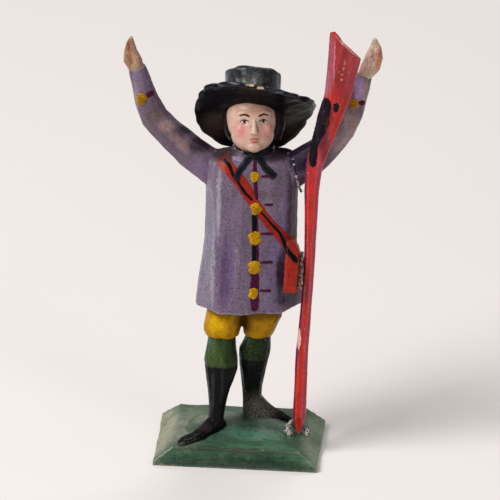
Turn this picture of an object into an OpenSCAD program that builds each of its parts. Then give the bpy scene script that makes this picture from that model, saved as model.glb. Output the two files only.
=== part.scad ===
// Carved and painted wooden figure: a man in a long coat and a wide hat, both
// arms raised, with a long gun stood on its muzzle beside him.
// Millimetres. +Z is up, the front faces -Y, the origin is the middle of the
// base block's underside. Left and right are the figure's own, so its right
// arm is on the -X side.

/* [Base] */
// Width of the base block
base_w = 35; // [33:0.5:38]
// Depth of the base block, front to back
base_d = 26.6; // [26:0.2:30]
// Height of the base block
base_h = 4.1; // [3.8:0.1:4.6]
// Upright edge under the bevels
base_edge = 1; // [0.6:0.1:1.4]
// Run of the long bevels at the two ends
end_bevel = 4; // [3:0.2:4.6]
// Run of the steep bevels at the front and back
long_bevel = 1.1; // [0.8:0.1:1.6]
// Height of the putty over the base block, where it is thickest
putty_rise = 1.9; // [1.6:0.1:2.2]

/* [Body] */
// Height of the coat's hem over the table
hem_z = 32.5; // [32.2:0.1:32.8]
// Length of the coat, from hem to collar
coat_h = 36.2; // [36:0.1:36.6]
// Half the coat's width at the hem
hem_half = 11.3; // [10.8:0.1:11.4]
// Half the coat's width at the chest
chest_half = 9.7; // [9.5:0.1:9.9]
// How far the body is turned towards its own left
body_turn = 11; // [8:1:13]
// Height of the breeches' knee band
knee_z = 25.8; // [25.6:0.1:26.2]

/* [Head and hat] */
// Half the width of the face at the forehead
head_half = 5.6; // [5.2:0.1:5.8]
// How far the hat is tipped back
hat_tip = 46; // [44:1:48]
// Radius of the hat's brim
brim_r = 13; // [12:0.2:13.6]
// Thickness of the brim
brim_t = 0.9; // [0.8:0.1:1.1]
// Radius of the hat's crown
crown_r = 5.95; // [5.5:0.05:6.2]
// Height of the crown over the brim
crown_h = 8.6; // [7.6:0.2:9]
// How far the crown is tipped back
crown_tip = 36; // [34:1:46]

/* [Arms] */
// Half the height of the sleeve where it is glued to the shoulder
sleeve_half = 4; // [3.6:0.1:4.2]
// Half the thickness of the sleeve there, front to back
sleeve_deep = 3; // [2.6:0.1:3.2]

/* [Gun] */
// Half the width of the barrel
barrel_half = 1.15; // [1.05:0.05:1.25]
// Half the thickness of the gun's stick, front to back
gun_deep = 1.3; // [1.1:0.05:1.4]

/* [Pegs] */
// Radius of the foot, knee and shoulder pegs
peg_r = 0.7; // [0.6:0.05:0.8]
// Radius of the neck peg and of the peg inside the coat
big_peg_r = 1.2; // [1:0.1:1.4]

/* [Hidden] */
$fn = 32;
collar_z = hem_z + coat_h;
body_x = 1.5;
body_y = 0.6;
shoulder_x = 9;
shoulder_tilt = 9;
shoulder_z = 63.4;
armpit_z = 59.2;
hat_at = [1.7, 2.5, 75.7];
crown_x = -0.8;
spigot_r = 2.2;
spigot_l = 2.6;
bead_fn = 16;
far = 60;

// A carved limb is a list of cuts, bottom to top:
// [[x, y, z], half width, half depth, lean from upright]
right_leg_cuts = [
    [[-4.9, -2.9, 6.4], 1.9, 2.1, 0],
    [[-4.75, -2.5, 10], 1.9, 2.1, 0],
    [[-4.5, -2, 14], 2.5, 2.6, 0],
    [[-4.1, -1.2, 18.4], 3.4, 3.2, 0],
    [[-4.25, -0.9, 20.4], 3.5, 3.3, 0],
    [[-4.25, -0.5, 22.6], 3.15, 3.1, 0],
    [[-4.2, -0.4, 24.6], 3, 2.9, 0],
    [[-4.2, -0.3, knee_z], 3.1, 3, 0],
];
left_leg_cuts = [
    [[2.3, 3.8, 6.4], 1.9, 2, 0],
    [[2.3, 3.5, 9.6], 1.9, 2, 0],
    [[2.3, 3, 12.7], 2.05, 2.3, 0],
    [[2.55, 2, 18.2], 2.95, 2.9, 0],
    [[2.8, 1.5, 22], 3.35, 3.1, 0],
    [[3.4, 0.9, 24.6], 2.7, 2.8, 0],
    [[3.7, 0.8, knee_z], 2.8, 2.9, 0],
];
right_thigh_cuts = [
    [[-4.2, -0.3, knee_z], 3.5, 3.3, 0],
    [[-4.2, -0.2, knee_z + 1.2], 3.9, 3.7, 0],
    [[-3.7, 0.1, 29.4], 4, 4, 0],
    [[-3.1, 0.3, hem_z], 4.2, 4.2, 0],
];
left_thigh_cuts = [
    [[3.7, 0.8, knee_z], 3.2, 3.2, 0],
    [[3.9, 0.8, knee_z + 1.4], 3.6, 3.6, 0],
    [[4.4, 0.7, 30.2], 4.1, 3.9, 0],
    [[4.5, 0.6, hem_z], 4.3, 4.2, 0],
];
// The coat's cuts are counted from the body's own upright axis
coat_cuts = [
    [[0, 0, hem_z], hem_half, 6.5, 0],
    [[0, 0, hem_z + 6], hem_half - 0.5, 6.2, 0],
    [[0.1, 0, hem_z + 15], chest_half, 5.8, 0],
    [[0.1, 0, hem_z + 25.5], chest_half, 5.6, 0],
    [[0.1, 0, hem_z + 31], chest_half + 0.1, 5.3, 0],
    [[0.1, 0, hem_z + 33.4], chest_half, 4.8, 0],
    [[0.1, 0, hem_z + 34.4], chest_half - 1.2, 4.2, 0],
    [[0.3, -0.1, hem_z + 34.9], 5.4, 3.9, 0],
    [[0.3, -0.2, hem_z + 35.5], 4.3, 3.6, 0],
    [[0.3, -0.3, collar_z], 4, 3.4, 0],
];
right_sleeve_cuts = [
    [[body_x - shoulder_x, 1, shoulder_z], sleeve_half, sleeve_deep, shoulder_tilt - 90],
    [[-11.6, 1, 66.6], 3.5, 2.8, -52],
    [[-15.6, 1, 70.1], 3.1, 2.6, -47],
    [[-19.6, 1, 74], 2.9, 2.4, -32],
    [[-21.6, 0.9, 79], 2.35, 2.2, -18],
    [[-23.4, 0.8, 84.8], 1.75, 1.7, -18],
];
left_sleeve_cuts = [
    [[body_x + shoulder_x, 1, shoulder_z], sleeve_half, sleeve_deep, 90 - shoulder_tilt],
    [[14.2, 1.2, 66.2], 3.5, 2.8, 55],
    [[17.6, 1.4, 69.4], 3, 2.6, 46],
    [[20.5, 1.5, 73], 2.8, 2.4, 32],
    [[22.9, 1.5, 78.6], 2.25, 2.2, 20],
    [[24.8, 1.5, 85.2], 1.55, 1.6, 13],
];
right_hand_cuts = [
    [[-23.4, 0.8, 84.8], 1.7, 1.6, -18],
    [[-24.4, 0.7, 87], 2, 1.4, -12],
    [[-24.9, 0.6, 89.2], 1.3, 1.1, -4],
    [[-24.9, 0.6, 91], 0.75, 0.75, 4],
    [[-24.8, 0.6, 92.4], 0.25, 0.3, 4],
];
left_hand_cuts = [
    [[24.8, 1.5, 85.2], 1.5, 1.5, 13],
    [[26.1, 1.4, 87.6], 2, 1.4, 14],
    [[26.9, 1.3, 90], 1.85, 1.2, 6],
    [[27.1, 1.2, 92.2], 1.2, 0.9, 0],
    [[26.9, 1.2, 94.1], 0.35, 0.35, -4],
];
gun_cuts = [
    [[12.8, -2.1, base_h + 0.2], 0.3, 0.3, 0],
    [[12.8, -2.1, base_h + 4.2], barrel_half + 0.2, gun_deep, 0],
    [[13.2, -2.3, 23.6], barrel_half + 0.2, gun_deep, 2],
    [[13.9, -2.6, 35.2], barrel_half, gun_deep, 2],
    [[14.4, -2.8, 46.8], barrel_half, gun_deep, 1],
    [[14.5, -3, 60.7], barrel_half + 0.4, gun_deep, 2],
    [[14.9, -3.1, 66.3], barrel_half + 0.6, gun_deep, 9],
    [[16.2, -3.2, 71.2], 2.15, gun_deep, 15],
    [[17.8, -3.3, 77], 2.5, gun_deep, 15],
    [[19.5, -3.4, 82.4], 2.75, gun_deep, 11],
    [[20.3, -3.5, 87.4], 3.15, gun_deep, 11],
    [[20.7, -3.6, 91], 3.6, gun_deep, 22],
    [[20.95, -3.6, 94.6], 4.5, gun_deep, 36],
];
head_cuts = [
    [[1.9, 0.4, collar_z], 3.2, 3, 0],
    [[1.95, -0.9, collar_z + 0.5], 3.4, 3.1, 0],
    [[1.95, -0.9, 71], 4.6, 3.7, 0],
    [[1.9, -0.2, 74], 5.1, 4.4, 0],
    [[1.85, 0.5, 77], 5.4, 4.7, 0],
    [[1.8, 1.5, 80], head_half, 4.7, 0],
    [[1.8, 2.6, 84], 5, 4, 0],
];
// Long hair, carved in one with the head, from the collar up under the brim
hair_cuts = [
    [[1.9, 1.9, collar_z + 0.4], 3.6, 1.8, 0],
    [[1.95, 1.9, collar_z + 1.6], 5.2, 2.5, 0],
    [[1.95, 2, 72.6], 6, 3, 0],
    [[1.9, 2.2, 76], 6.4, 3.2, 0],
    [[1.85, 2.8, 80], 6.3, 3.4, 0],
    [[1.8, 3.6, 84], 5.6, 3.4, 0],
];
putty_cuts = [
    [[0, -0.4, base_h], 12, 8.4, 0],
    [[0, 0, base_h + 0.4 * putty_rise], 10.2, 7.2, 0],
    [[0.2, 0.6, base_h + 0.8 * putty_rise], 7, 4.8, 0],
    [[0.4, 1, base_h + putty_rise], 3.6, 2.4, 0],
];
// How far the brim's edge is bent up or down, by the angle round it:
// 0 is the front, positive towards the figure's left
brim_bends = [
    [-180, -3], [-150, -3.1], [-112, -2.3], [-90, -0.5], [-66, 2.4], [-30, 1.4], [0, 0.25],
    [35, -0.3], [84, 2], [105, 3.2], [128, 2.8], [142, 0.2], [160, -2.7], [180, -3],
];
brim_flat_r = 6.4;

// ---- how a carved form is made ----

function mean(points) = [for (k = [0 : 2]) [for (p = points) p[k]] * [for (p = points) 1] / len(points)];

function boxed(value, square) = sign(value) * pow(abs(value), square);

// One knife cut round a limb. square under 1 makes the oval boxier.
function cut_ring(cut, sides, square) = [
    for (i = [0 : sides - 1])
        let (
            a = 360 * (i + 0.5) / sides,
            reach = pow(cos(180 / sides), square),
            c = boxed(cos(a), square) / reach,
            s = boxed(sin(a), square) / reach
        )
        cut[0] + [cut[1] * c * cos(cut[3]), cut[2] * s, -cut[1] * c * sin(cut[3])]
];

// A closed solid through a list of rings that run anticlockwise seen from the last one
module skin(rings) {
    sides = len(rings[0]);
    last = len(rings) - 1;
    tip = 1 + sides * (last + 1);
    points = concat([mean(rings[0])], [for (r = rings) each r], [mean(rings[last])]);
    walls = [
        for (k = [0 : last - 1], i = [0 : sides - 1])
            let (
                a = 1 + k * sides + i,
                b = 1 + k * sides + (i + 1) % sides
            )
            each [[a, a + sides, b], [b, a + sides, b + sides]]
    ];
    under = [for (i = [0 : sides - 1]) [0, 1 + i, 1 + (i + 1) % sides]];
    over = [for (i = [0 : sides - 1]) [tip, tip - sides + (i + 1) % sides, tip - sides + i]];
    polyhedron(points, concat(under, walls, over), convexity = 6);
}

module carved(cuts, sides = 12, square = 0.9) {
    skin([for (cut = cuts) cut_ring(cut, sides, square)]);
}

// A straight peg between two points, or the hole for it
module peg(from, to, r) {
    along = to - from;
    length = norm(along);
    translate(from)
        rotate([0, acos(along.z / length), atan2(along.y, along.x)])
            cylinder(h = length, r = r);
}

// ---- pegs: where each one starts and ends ----

module right_foot_dowel() peg([-4.8, -2.7, 1.4], [-4.8, -2.7, 11], peg_r);
module left_foot_dowel() peg([2.3, 3.6, 1.4], [2.3, 3.6, 11], peg_r);
module right_knee_dowel() peg([-4.2, -0.5, 20], [-4.2, -0.5, 29], peg_r);
module left_knee_dowel() peg([3.4, 1, 20], [3.4, 1, 29], peg_r);
module coat_dowel() peg([body_x - 0.7, body_y, 29], [body_x - 0.7, body_y, hem_z + 8], big_peg_r);
module neck_dowel() peg([1.7, 0.6, collar_z - 7], [1.7, 0.6, collar_z + 4], big_peg_r);
module right_shoulder_dowel() peg([body_x - shoulder_x + 4, 1, 61.6], [body_x - shoulder_x - 3, 1, 65], peg_r);
module left_shoulder_dowel() peg([body_x + shoulder_x - 4, 1, 61.6], [body_x + shoulder_x + 3, 1, 65], peg_r);

// ---- base ----

function bevel_outline(width, bevel) = [
    [-width / 2, 0], [width / 2, 0], [width / 2, base_edge],
    [width / 2 - bevel, base_h], [bevel - width / 2, base_h], [-width / 2, base_edge],
];

module base_block() color("seagreen") difference() {
    intersection() {
        rotate([90, 0, 0]) linear_extrude(base_d, center = true) polygon(bevel_outline(base_w, end_bevel));
        rotate([90, 0, 90]) linear_extrude(base_w, center = true) polygon(bevel_outline(base_d, long_bevel));
    }
    right_foot_dowel();
    left_foot_dowel();
}

module ground_putty() color("darkseagreen") difference() {
    carved(putty_cuts, 20, 0.85);
    right_boot();
    left_boot();
    right_foot_dowel();
    left_foot_dowel();
    gun_stick();
}

// ---- legs ----

// Shank and foot in one piece: heel and toe are points on the base block
module boot(cuts, heel, toe, instep_h) {
    instep = 0.5 * heel + 0.5 * toe;
    carved(cuts);
    hull() {
        translate([cuts[0][0].x, cuts[0][0].y, 8]) cylinder(h = 0.4, r = 1.95, $fn = bead_fn);
        translate([heel.x, heel.y, base_h]) cylinder(h = 1.2, r = 2, $fn = bead_fn);
        translate([instep.x, instep.y, base_h]) cylinder(h = instep_h, r = 1.4, $fn = bead_fn);
    }
    hull() {
        translate([instep.x, instep.y, base_h]) cylinder(h = instep_h, r = 1.4, $fn = bead_fn);
        translate([toe.x, toe.y, base_h]) cylinder(h = 0.9, r = 0.9, $fn = bead_fn);
    }
}

module right_boot() boot(right_leg_cuts, [-4.4, -2.6], [-11.9, -11.1], 2.1);
module left_boot() boot(left_leg_cuts, [1.9, 3.9], [10, 4.1], 3.5);

module right_leg() color("darkslategray") difference() {
    right_boot();
    right_foot_dowel();
    right_knee_dowel();
}

module left_leg() color("darkslategray") difference() {
    left_boot();
    left_foot_dowel();
    left_knee_dowel();
}

module breeches() color("goldenrod") difference() {
    union() {
        carved(right_thigh_cuts);
        carved(left_thigh_cuts);
    }
    right_knee_dowel();
    left_knee_dowel();
    coat_dowel();
}

// ---- coat ----

module coat_form() {
    difference() {
        translate([body_x, body_y, 0]) rotate([0, 0, body_turn]) carved(coat_cuts, 16, 0.72);
        shoulder_flat(-1);
        shoulder_flat(1);
    }
}

// The flat that a sleeve is glued to. side is -1 for the right, 1 for the left.
module shoulder_flat(side) {
    intersection() {
        translate([body_x + side * shoulder_x, 0, shoulder_z])
            rotate([0, -side * shoulder_tilt, 0])
                translate([side * far / 2, 0, 0]) cube([far, far, far], center = true);
        translate([0, 0, armpit_z + far / 2]) cube([far * 2, far, far], center = true);
    }
}

module coat() color("slateblue") difference() {
    coat_form();
    coat_dowel();
    neck_dowel();
    right_shoulder_dowel();
    left_shoulder_dowel();
}

module pouch() color("firebrick") difference() {
    hull() {
        translate([9.3, -6.9, 38.4]) cube([2.6, 4, 6.8]);
        translate([9.9, -5.4, 38.2]) cube([2.5, 4.2, 7.6]);
    }
    coat_form();
    gun_stick();
}

// ---- head and hat ----

// Puts its children on the hat's middle, tipped back by an angle
module on_hat(tip, x = 0) {
    translate(hat_at + [x, 0, 0]) rotate([-tip, 0, 0]) children();
}

module crown_spigot() {
    on_hat(hat_tip) translate([0, 0, -spigot_l]) cylinder(h = spigot_l + 2, r = spigot_r);
}

module head() color("burlywood") difference() {
    union() {
        carved(head_cuts, 16, 0.8);
        carved(hair_cuts, 16, 0.85);
    }
    on_hat(hat_tip) translate([0, 0, far / 2 - brim_t / 2]) cube([far, far, far], center = true);
    hat_brim_form();
    crown_spigot();
    neck_dowel();
}

// side is -1 for the brim's underside and 1 for its top
function brim_ring(r, side, sides = 32) = [
    for (i = [0 : sides - 1])
        let (
            a = 360 * i / sides - 180,
            bend = lookup(a, brim_bends) * pow(max(0, (r - brim_flat_r) / (brim_r - brim_flat_r)), 1.4)
        )
        [r * sin(a), -r * cos(a), bend + side * brim_t / 2]
];

module hat_brim_form() {
    radii = [1, brim_flat_r, 9, 11.2, brim_r];
    on_hat(hat_tip)
        skin(concat(
            [for (r = radii) brim_ring(r, -1)],
            [for (k = [len(radii) - 1 : -1 : 0]) brim_ring(radii[k], 1)]
        ));
}

module hat_brim() color("darkslategray") difference() {
    hat_brim_form();
    crown_spigot();
}

module hat_crown() color("darkslategray") {
    crown_cuts = [
        [[0, 0, -3], crown_r, crown_r - 0.2, 0],
        [[0, 0, 0.5 * crown_h], crown_r - 0.1, crown_r - 0.2, 0],
        [[0, 0, crown_h - 0.5], crown_r, crown_r, 0],
        [[0, 0, crown_h], crown_r - 0.5, crown_r - 0.5, 0],
    ];
    difference() {
        on_hat(crown_tip, crown_x) carved(crown_cuts, 16, 0.95);
        on_hat(hat_tip) translate([0, 0, brim_t / 2 - far / 2]) cube([far, far, far], center = true);
        hat_brim_form();
    }
    crown_spigot();
}

// ---- arms ----

module right_sleeve() color("slateblue") difference() {
    carved(right_sleeve_cuts);
    right_shoulder_dowel();
}

module left_sleeve() color("slateblue") difference() {
    carved(left_sleeve_cuts);
    left_shoulder_dowel();
}

module right_hand() color("burlywood") carved(right_hand_cuts, 10);

module left_hand() color("burlywood") difference() {
    carved(left_hand_cuts, 10);
    gun_stick();
}

// ---- gun ----

module gun_stick() carved(gun_cuts, 8, 0.8);

module gun() color("crimson") gun_stick();

// ---- dried glue ----

module shoulder_glue() color("wheat") difference() {
    hull() {
        translate([11.6, -0.8, 59.6]) sphere(r = 0.8, $fn = bead_fn);
        translate([10.2, -1.6, 65.6]) sphere(r = 0.5, $fn = bead_fn);
    }
    coat_form();
    carved(left_sleeve_cuts);
}

module muzzle_glue() color("wheat") difference() {
    hull() {
        translate([12.5, -1.7, base_h]) cylinder(h = 0.4, r = 2.9, $fn = bead_fn);
        translate([12.7, -2, base_h]) cylinder(h = 2.3, r = 1.4, $fn = bead_fn);
    }
    gun_stick();
    carved(putty_cuts, 20, 0.85);
    left_boot();
}

module pouch_glue() color("wheat") difference() {
    hull() {
        translate([12.4, -2.3, 37.8]) sphere(r = 0.7, $fn = bead_fn);
        translate([12.7, -2.4, 45.4]) sphere(r = 0.7, $fn = bead_fn);
    }
    coat_form();
    gun_stick();
    pouch();
}

// ---- pegs ----

module right_foot_peg() color("tan") right_foot_dowel();
module left_foot_peg() color("tan") left_foot_dowel();
module right_knee_peg() color("tan") right_knee_dowel();
module left_knee_peg() color("tan") left_knee_dowel();
module coat_peg() color("tan") coat_dowel();
module neck_peg() color("tan") neck_dowel();
module right_shoulder_peg() color("tan") right_shoulder_dowel();
module left_shoulder_peg() color("tan") left_shoulder_dowel();

base_block();
ground_putty();
right_leg();
left_leg();
breeches();
coat();
head();
hat_brim();
hat_crown();
right_sleeve();
left_sleeve();
right_hand();
left_hand();
gun();
pouch();
shoulder_glue();
muzzle_glue();
pouch_glue();
right_foot_peg();
left_foot_peg();
right_knee_peg();
left_knee_peg();
coat_peg();
neck_peg();
right_shoulder_peg();
left_shoulder_peg();
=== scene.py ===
import math

import bmesh
import bpy
from mathutils import Matrix, Vector, noise
from mathutils.bvhtree import BVHTree


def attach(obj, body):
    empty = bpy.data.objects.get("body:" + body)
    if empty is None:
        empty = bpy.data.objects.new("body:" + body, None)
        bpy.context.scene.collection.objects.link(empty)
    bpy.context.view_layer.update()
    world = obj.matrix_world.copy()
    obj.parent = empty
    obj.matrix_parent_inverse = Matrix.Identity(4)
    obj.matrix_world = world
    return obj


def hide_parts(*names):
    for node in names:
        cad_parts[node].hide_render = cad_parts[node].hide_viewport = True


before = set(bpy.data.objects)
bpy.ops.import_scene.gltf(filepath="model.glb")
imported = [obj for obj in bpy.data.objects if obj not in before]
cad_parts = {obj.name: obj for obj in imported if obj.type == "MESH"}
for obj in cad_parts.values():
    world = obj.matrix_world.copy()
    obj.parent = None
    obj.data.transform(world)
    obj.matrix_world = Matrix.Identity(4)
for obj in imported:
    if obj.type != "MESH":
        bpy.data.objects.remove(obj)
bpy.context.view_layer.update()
scene = bpy.context.scene

# ---- Camera, floor and light ----
# A long lens looks a little down on the figure. It stands on a plain pale
# sheet under one large soft lamp at the upper left, in a light room.
MM = 0.001
AIM = Vector((1.43, 0, 45.05)) * MM
TURN = math.radians(3.8)
RISE = math.radians(22)
LEAN = math.radians(1.2)
away = Vector((math.sin(TURN) * math.cos(RISE), -math.cos(TURN) * math.cos(RISE), math.sin(RISE)))
lens = bpy.data.cameras.new("camera")
lens.lens = 1500
lens.sensor_width = 36
lens.clip_start = 0.05
lens.clip_end = 20
camera = bpy.data.objects.new("camera", lens)
camera.matrix_world = (
    Matrix.Translation(AIM + away * 4.433)
    @ away.to_track_quat("Z", "Y").to_matrix().to_4x4()
    @ Matrix.Rotation(LEAN, 4, "Z")
)
scene.collection.objects.link(camera)
scene.camera = camera
scene.view_settings.view_transform = "Standard"


def node(tree, kind, inputs=None, **settings):
    """One shader node. An input is a plain value, or the socket that feeds it."""
    made = tree.nodes.new("ShaderNode" + kind)
    for key, value in settings.items():
        setattr(made, key, value)
    for key, value in (inputs or {}).items():
        if isinstance(value, bpy.types.NodeSocket):
            tree.links.new(value, made.inputs[key])
        else:
            made.inputs[key].default_value = value
    return made


def reckon(tree, how, first, second, **settings):
    """One sum on two values, and what comes out of it."""
    return node(tree, "Math", {0: first, 1: second}, operation=how, **settings).outputs[0]


def blend_in(tree, mask, under, over, how="MIX"):
    """The colour over laid on the colour under where the mask is 1."""
    made = node(tree, "Mix", {0: mask, 6: under, 7: over}, data_type="RGBA", blend_type=how)
    return made.outputs[2]


def grade(tree, value, low, high, to_low=0.0, to_high=1.0):
    """A smooth step of a value from low to high."""
    made = node(
        tree, "MapRange",
        {"Value": value, "From Min": low, "From Max": high, "To Min": to_low, "To Max": to_high},
        interpolation_type="SMOOTHSTEP",
    )
    return made.outputs[0]


def start_material(name):
    """A fresh material, its shader, and the place of each point in millimetres."""
    material = bpy.data.materials.new(name)
    material.use_nodes = True
    tree = material.node_tree
    tree.nodes.clear()
    shader = node(tree, "BsdfPrincipled")
    out = node(tree, "OutputMaterial")
    tree.links.new(shader.outputs[0], out.inputs["Surface"])
    where = node(tree, "TexCoord")
    place = node(tree, "VectorMath", {0: where.outputs["Object"], "Scale": 1000.0}, operation="SCALE")
    return material, tree, shader, place.outputs[0]


sheet_paper, tree, shader, place = start_material("pale_sheet")
cloudy = node(tree, "TexNoise", {"Vector": place, "Scale": 0.008, "Detail": 2.0})
tone = blend_in(tree, cloudy.outputs[0], (0.83, 0.775, 0.745, 1), (0.86, 0.81, 0.785, 1))
tree.links.new(tone, shader.inputs["Base Color"])
shader.inputs["Roughness"].default_value = 0.75

bm = bmesh.new()
bmesh.ops.create_grid(bm, x_segments=2, y_segments=2, size=3)
mesh = bpy.data.meshes.new("floor")
bm.to_mesh(mesh)
bm.free()
floor = bpy.data.objects.new("floor", mesh)
floor.location.z = -0.00005
mesh.materials.append(sheet_paper)
scene.collection.objects.link(floor)

room = bpy.data.worlds.new("room")
room.use_nodes = True
room.node_tree.nodes["Background"].inputs[0].default_value = (1.0, 0.985, 0.98, 1)
room.node_tree.nodes["Background"].inputs[1].default_value = 0.26
scene.world = room

for lamp_name, spot, size, power in (
    ("key", (-0.8, -0.55, 1.05), 0.8, 18.5),
    ("fill", (0.95, -0.9, 0.9), 0.5, 2.0),
    ("back", (0.25, 0.9, 1.3), 0.6, 5.0),
):
    lamp = bpy.data.lights.new(lamp_name, "AREA")
    lamp.shape = "DISK"
    lamp.size = size
    lamp.energy = power
    stand = bpy.data.objects.new(lamp_name, lamp)
    stand.matrix_world = (
        Matrix.Translation(spot)
        @ (Vector(spot) - AIM).to_track_quat("Z", "Y").to_matrix().to_4x4()
    )
    stand.visible_camera = False
    scene.collection.objects.link(stand)

# ---- Base block ----
# A sawn wooden block, bevelled with a knife on all four sides and painted
# green. The figure's legs are pegged and glued into it.
BASE_W, BASE_D, BASE_H = 35.0, 26.6, 4.1
BASE_EDGE, END_BEVEL, LONG_BEVEL = 1.0, 4.0, 1.1


def sand(bm, grain, rounds=2):
    """Joins overlapping solids into one even skin, and takes their edges off."""
    mesh = bpy.data.meshes.new("rough")
    bm.to_mesh(mesh)
    bm.free()
    rough = bpy.data.objects.new("rough", mesh)
    scene.collection.objects.link(rough)
    skin = rough.modifiers.new("skin", "REMESH")
    skin.mode = "VOXEL"
    skin.voxel_size = grain
    if rounds:
        soft = rough.modifiers.new("soft", "SMOOTH")
        soft.factor = 0.5
        soft.iterations = rounds
    even = bmesh.new()
    even.from_mesh(rough.evaluated_get(bpy.context.evaluated_depsgraph_get()).data)
    bpy.data.objects.remove(rough)
    bpy.data.meshes.remove(mesh)
    even.normal_update()
    return even


def hew(bm, size, depth, seed, stretch=(1, 1, 1), scallop=0.0):
    """Uneven hand work: soft swells, and shallow knife scallops that meet in low ridges."""
    moves = []
    for vert in bm.verts:
        at = Vector((vert.co[k] / (size * stretch[k]) for k in range(3))) + Vector((seed, seed * 1.7,
            seed * 0.3))
        push = depth * noise.noise(at)
        if scallop:
            near = noise.voronoi(at)[0][0]
            push += scallop * (min(near * near, 0.6) - 0.25)
        moves.append(vert.normal * push)
    for vert, move in zip(bm.verts, moves):
        vert.co += move
    bm.normal_update()


def press(bm, centre, size, depth, along=None):
    """Pushes a soft hollow into the surface, or swells it where depth is below zero."""
    centre, size = Vector(centre), Vector(size)
    for vert in bm.verts:
        off = vert.co - centre
        reach = math.sqrt(sum((off[k] / size[k]) ** 2 for k in range(3)))
        if reach < 1:
            fall = (1 - reach * reach) ** 2
            vert.co += (Vector(along) if along else -vert.normal) * depth * fall
    bm.normal_update()


def shave(bm, point, facing, low=-1000.0, high=1000.0, fade=2.0):
    """A flat knife facet between two heights: what stands beyond the plane comes down to it."""
    point, facing = Vector(point), Vector(facing).normalized()
    for vert in bm.verts:
        proud = (vert.co - point).dot(facing)
        if proud > 0 and low < vert.co.z < high:
            share = min(1.0, (vert.co.z - low) / fade, (high - vert.co.z) / fade)
            vert.co -= facing * proud * share
    bm.normal_update()


def pare(bm, point, facing):
    """Cuts a flat facet: all that lies beyond the point, on the facing side, goes."""
    cut = bmesh.ops.bisect_plane(
        bm, geom=bm.verts[:] + bm.edges[:] + bm.faces[:], plane_co=point, plane_no=facing, clear_outer=True,
    )["geom_cut"]
    rim = [e for e in cut if isinstance(e, bmesh.types.BMEdge)]
    if rim:
        bmesh.ops.holes_fill(bm, edges=rim, sides=0)


def mark_edges(bm, rounds=2):
    """Stores how proud each point stands of its surroundings, for wear and for dirt."""
    bm.normal_update()
    bm.verts.index_update()
    raw = []
    for vert in bm.verts:
        total = 0.0
        for edge in vert.link_edges:
            step = vert.co - edge.other_vert(vert).co
            total += step.dot(vert.normal) / max(step.length, 1e-6)
        raw.append(total / max(len(vert.link_edges), 1))
    for _ in range(rounds):
        raw = [
            0.4 * raw[v.index]
            + 0.6 * sum(raw[e.other_vert(v).index] for e in v.link_edges) / max(len(v.link_edges), 1)
            for v in bm.verts
        ]
    layer = bm.verts.layers.float.new("edge")
    for vert in bm.verts:
        vert[layer] = raw[vert.index]


def piece(bm, name, slot, material, *nodes):
    """A finished piece in metres. It rides on the body and stands for its CAD nodes."""
    mark_edges(bm)
    bmesh.ops.scale(bm, vec=(MM, MM, MM), verts=bm.verts)
    mesh = bpy.data.meshes.new(name)
    bm.to_mesh(mesh)
    bm.free()
    mesh.shade_smooth()
    mesh.materials.append(material)
    made = bpy.data.objects.new(name, mesh)
    scene.collection.objects.link(made)
    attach(made, "root")
    if nodes:
        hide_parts(*nodes)
    return made


def new_group(name, ins, outs):
    """An empty shader node group with its named sockets."""
    group = bpy.data.node_groups.new(name, "ShaderNodeTree")
    for title, kind, value in ins:
        made = group.interface.new_socket(title, in_out="INPUT", socket_type="NodeSocket" + kind)
        if value is not None:
            made.default_value = value
    for title, kind in outs:
        group.interface.new_socket(title, in_out="OUTPUT", socket_type="NodeSocket" + kind)
    return group, group.nodes.new("NodeGroupInput").outputs, group.nodes.new("NodeGroupOutput").inputs


# A patch is a soft-edged spot round a point, measured in millimetres.
patch_group, ins, outs = new_group(
    "patch",
    [("Place", "Vector", None), ("Centre", "Vector", (0, 0, 0)), ("Size", "Vector", (1, 1, 1)),
     ("Softness", "Float", 0.3), ("Amount", "Float", 1.0)],
    [("Mask", "Float")],
)
off = node(patch_group, "VectorMath", {0: ins["Place"], 1: ins["Centre"]}, operation="SUBTRACT")
share = node(patch_group, "VectorMath", {0: off.outputs[0], 1: ins["Size"]}, operation="DIVIDE")
reach = node(patch_group, "VectorMath", {0: share.outputs[0]}, operation="LENGTH")
inner = node(patch_group, "Math", {0: 1.0, 1: ins["Softness"]}, operation="SUBTRACT")
outer = node(patch_group, "Math", {0: 1.0, 1: ins["Softness"]}, operation="ADD")
spot = node(
    patch_group, "MapRange",
    {"Value": reach.outputs["Value"], "From Min": inner.outputs[0], "From Max": outer.outputs[0],
     "To Min": ins["Amount"], "To Max": 0.0},
    interpolation_type="SMOOTHSTEP",
)
patch_group.links.new(spot.outputs[0], outs["Mask"])

# Old brushed paint: streaks, mottle, worn high edges, dirt in hollows and flecks.
paint_group, ins, outs = new_group(
    "old_paint",
    [("Place", "Vector", None), ("Grain", "Vector", (1, 1, 1)), ("Colour", "Color", None),
     ("Bare", "Color", None), ("Dirt", "Color", None), ("Fleck", "Color", None),
     ("Edge", "Float", 0.0), ("Wear", "Float", 0.5), ("Grime", "Float", 0.5),
     ("Streak", "Float", 0.5), ("Flecks", "Float", 0.5), ("Speckle", "Float", 0.1),
      ("Rough", "Float", 0.5)],
    [("Colour", "Color"), ("Roughness", "Float"), ("Height", "Float")],
)
g = paint_group
brushed = node(g, "VectorMath", {0: ins["Place"], 1: ins["Grain"]}, operation="MULTIPLY")
streak = node(g, "TexNoise", {"Vector": brushed.outputs[0], "Scale": 1.0, "Detail": 4.0,
    "Roughness": 0.6}).outputs[0]
mottle = node(g, "TexNoise", {"Vector": ins["Place"], "Scale": 0.33, "Detail": 4.0,
    "Roughness": 0.62}).outputs[0]
fine = node(g, "TexNoise", {"Vector": ins["Place"], "Scale": 3.2, "Detail": 3.0,
    "Roughness": 0.65}).outputs[0]
low = reckon(g, "SUBTRACT", 1.0, ins["Streak"])
high = reckon(g, "ADD", 1.0, ins["Streak"])
both = reckon(g, "ADD", streak, mottle)
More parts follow.
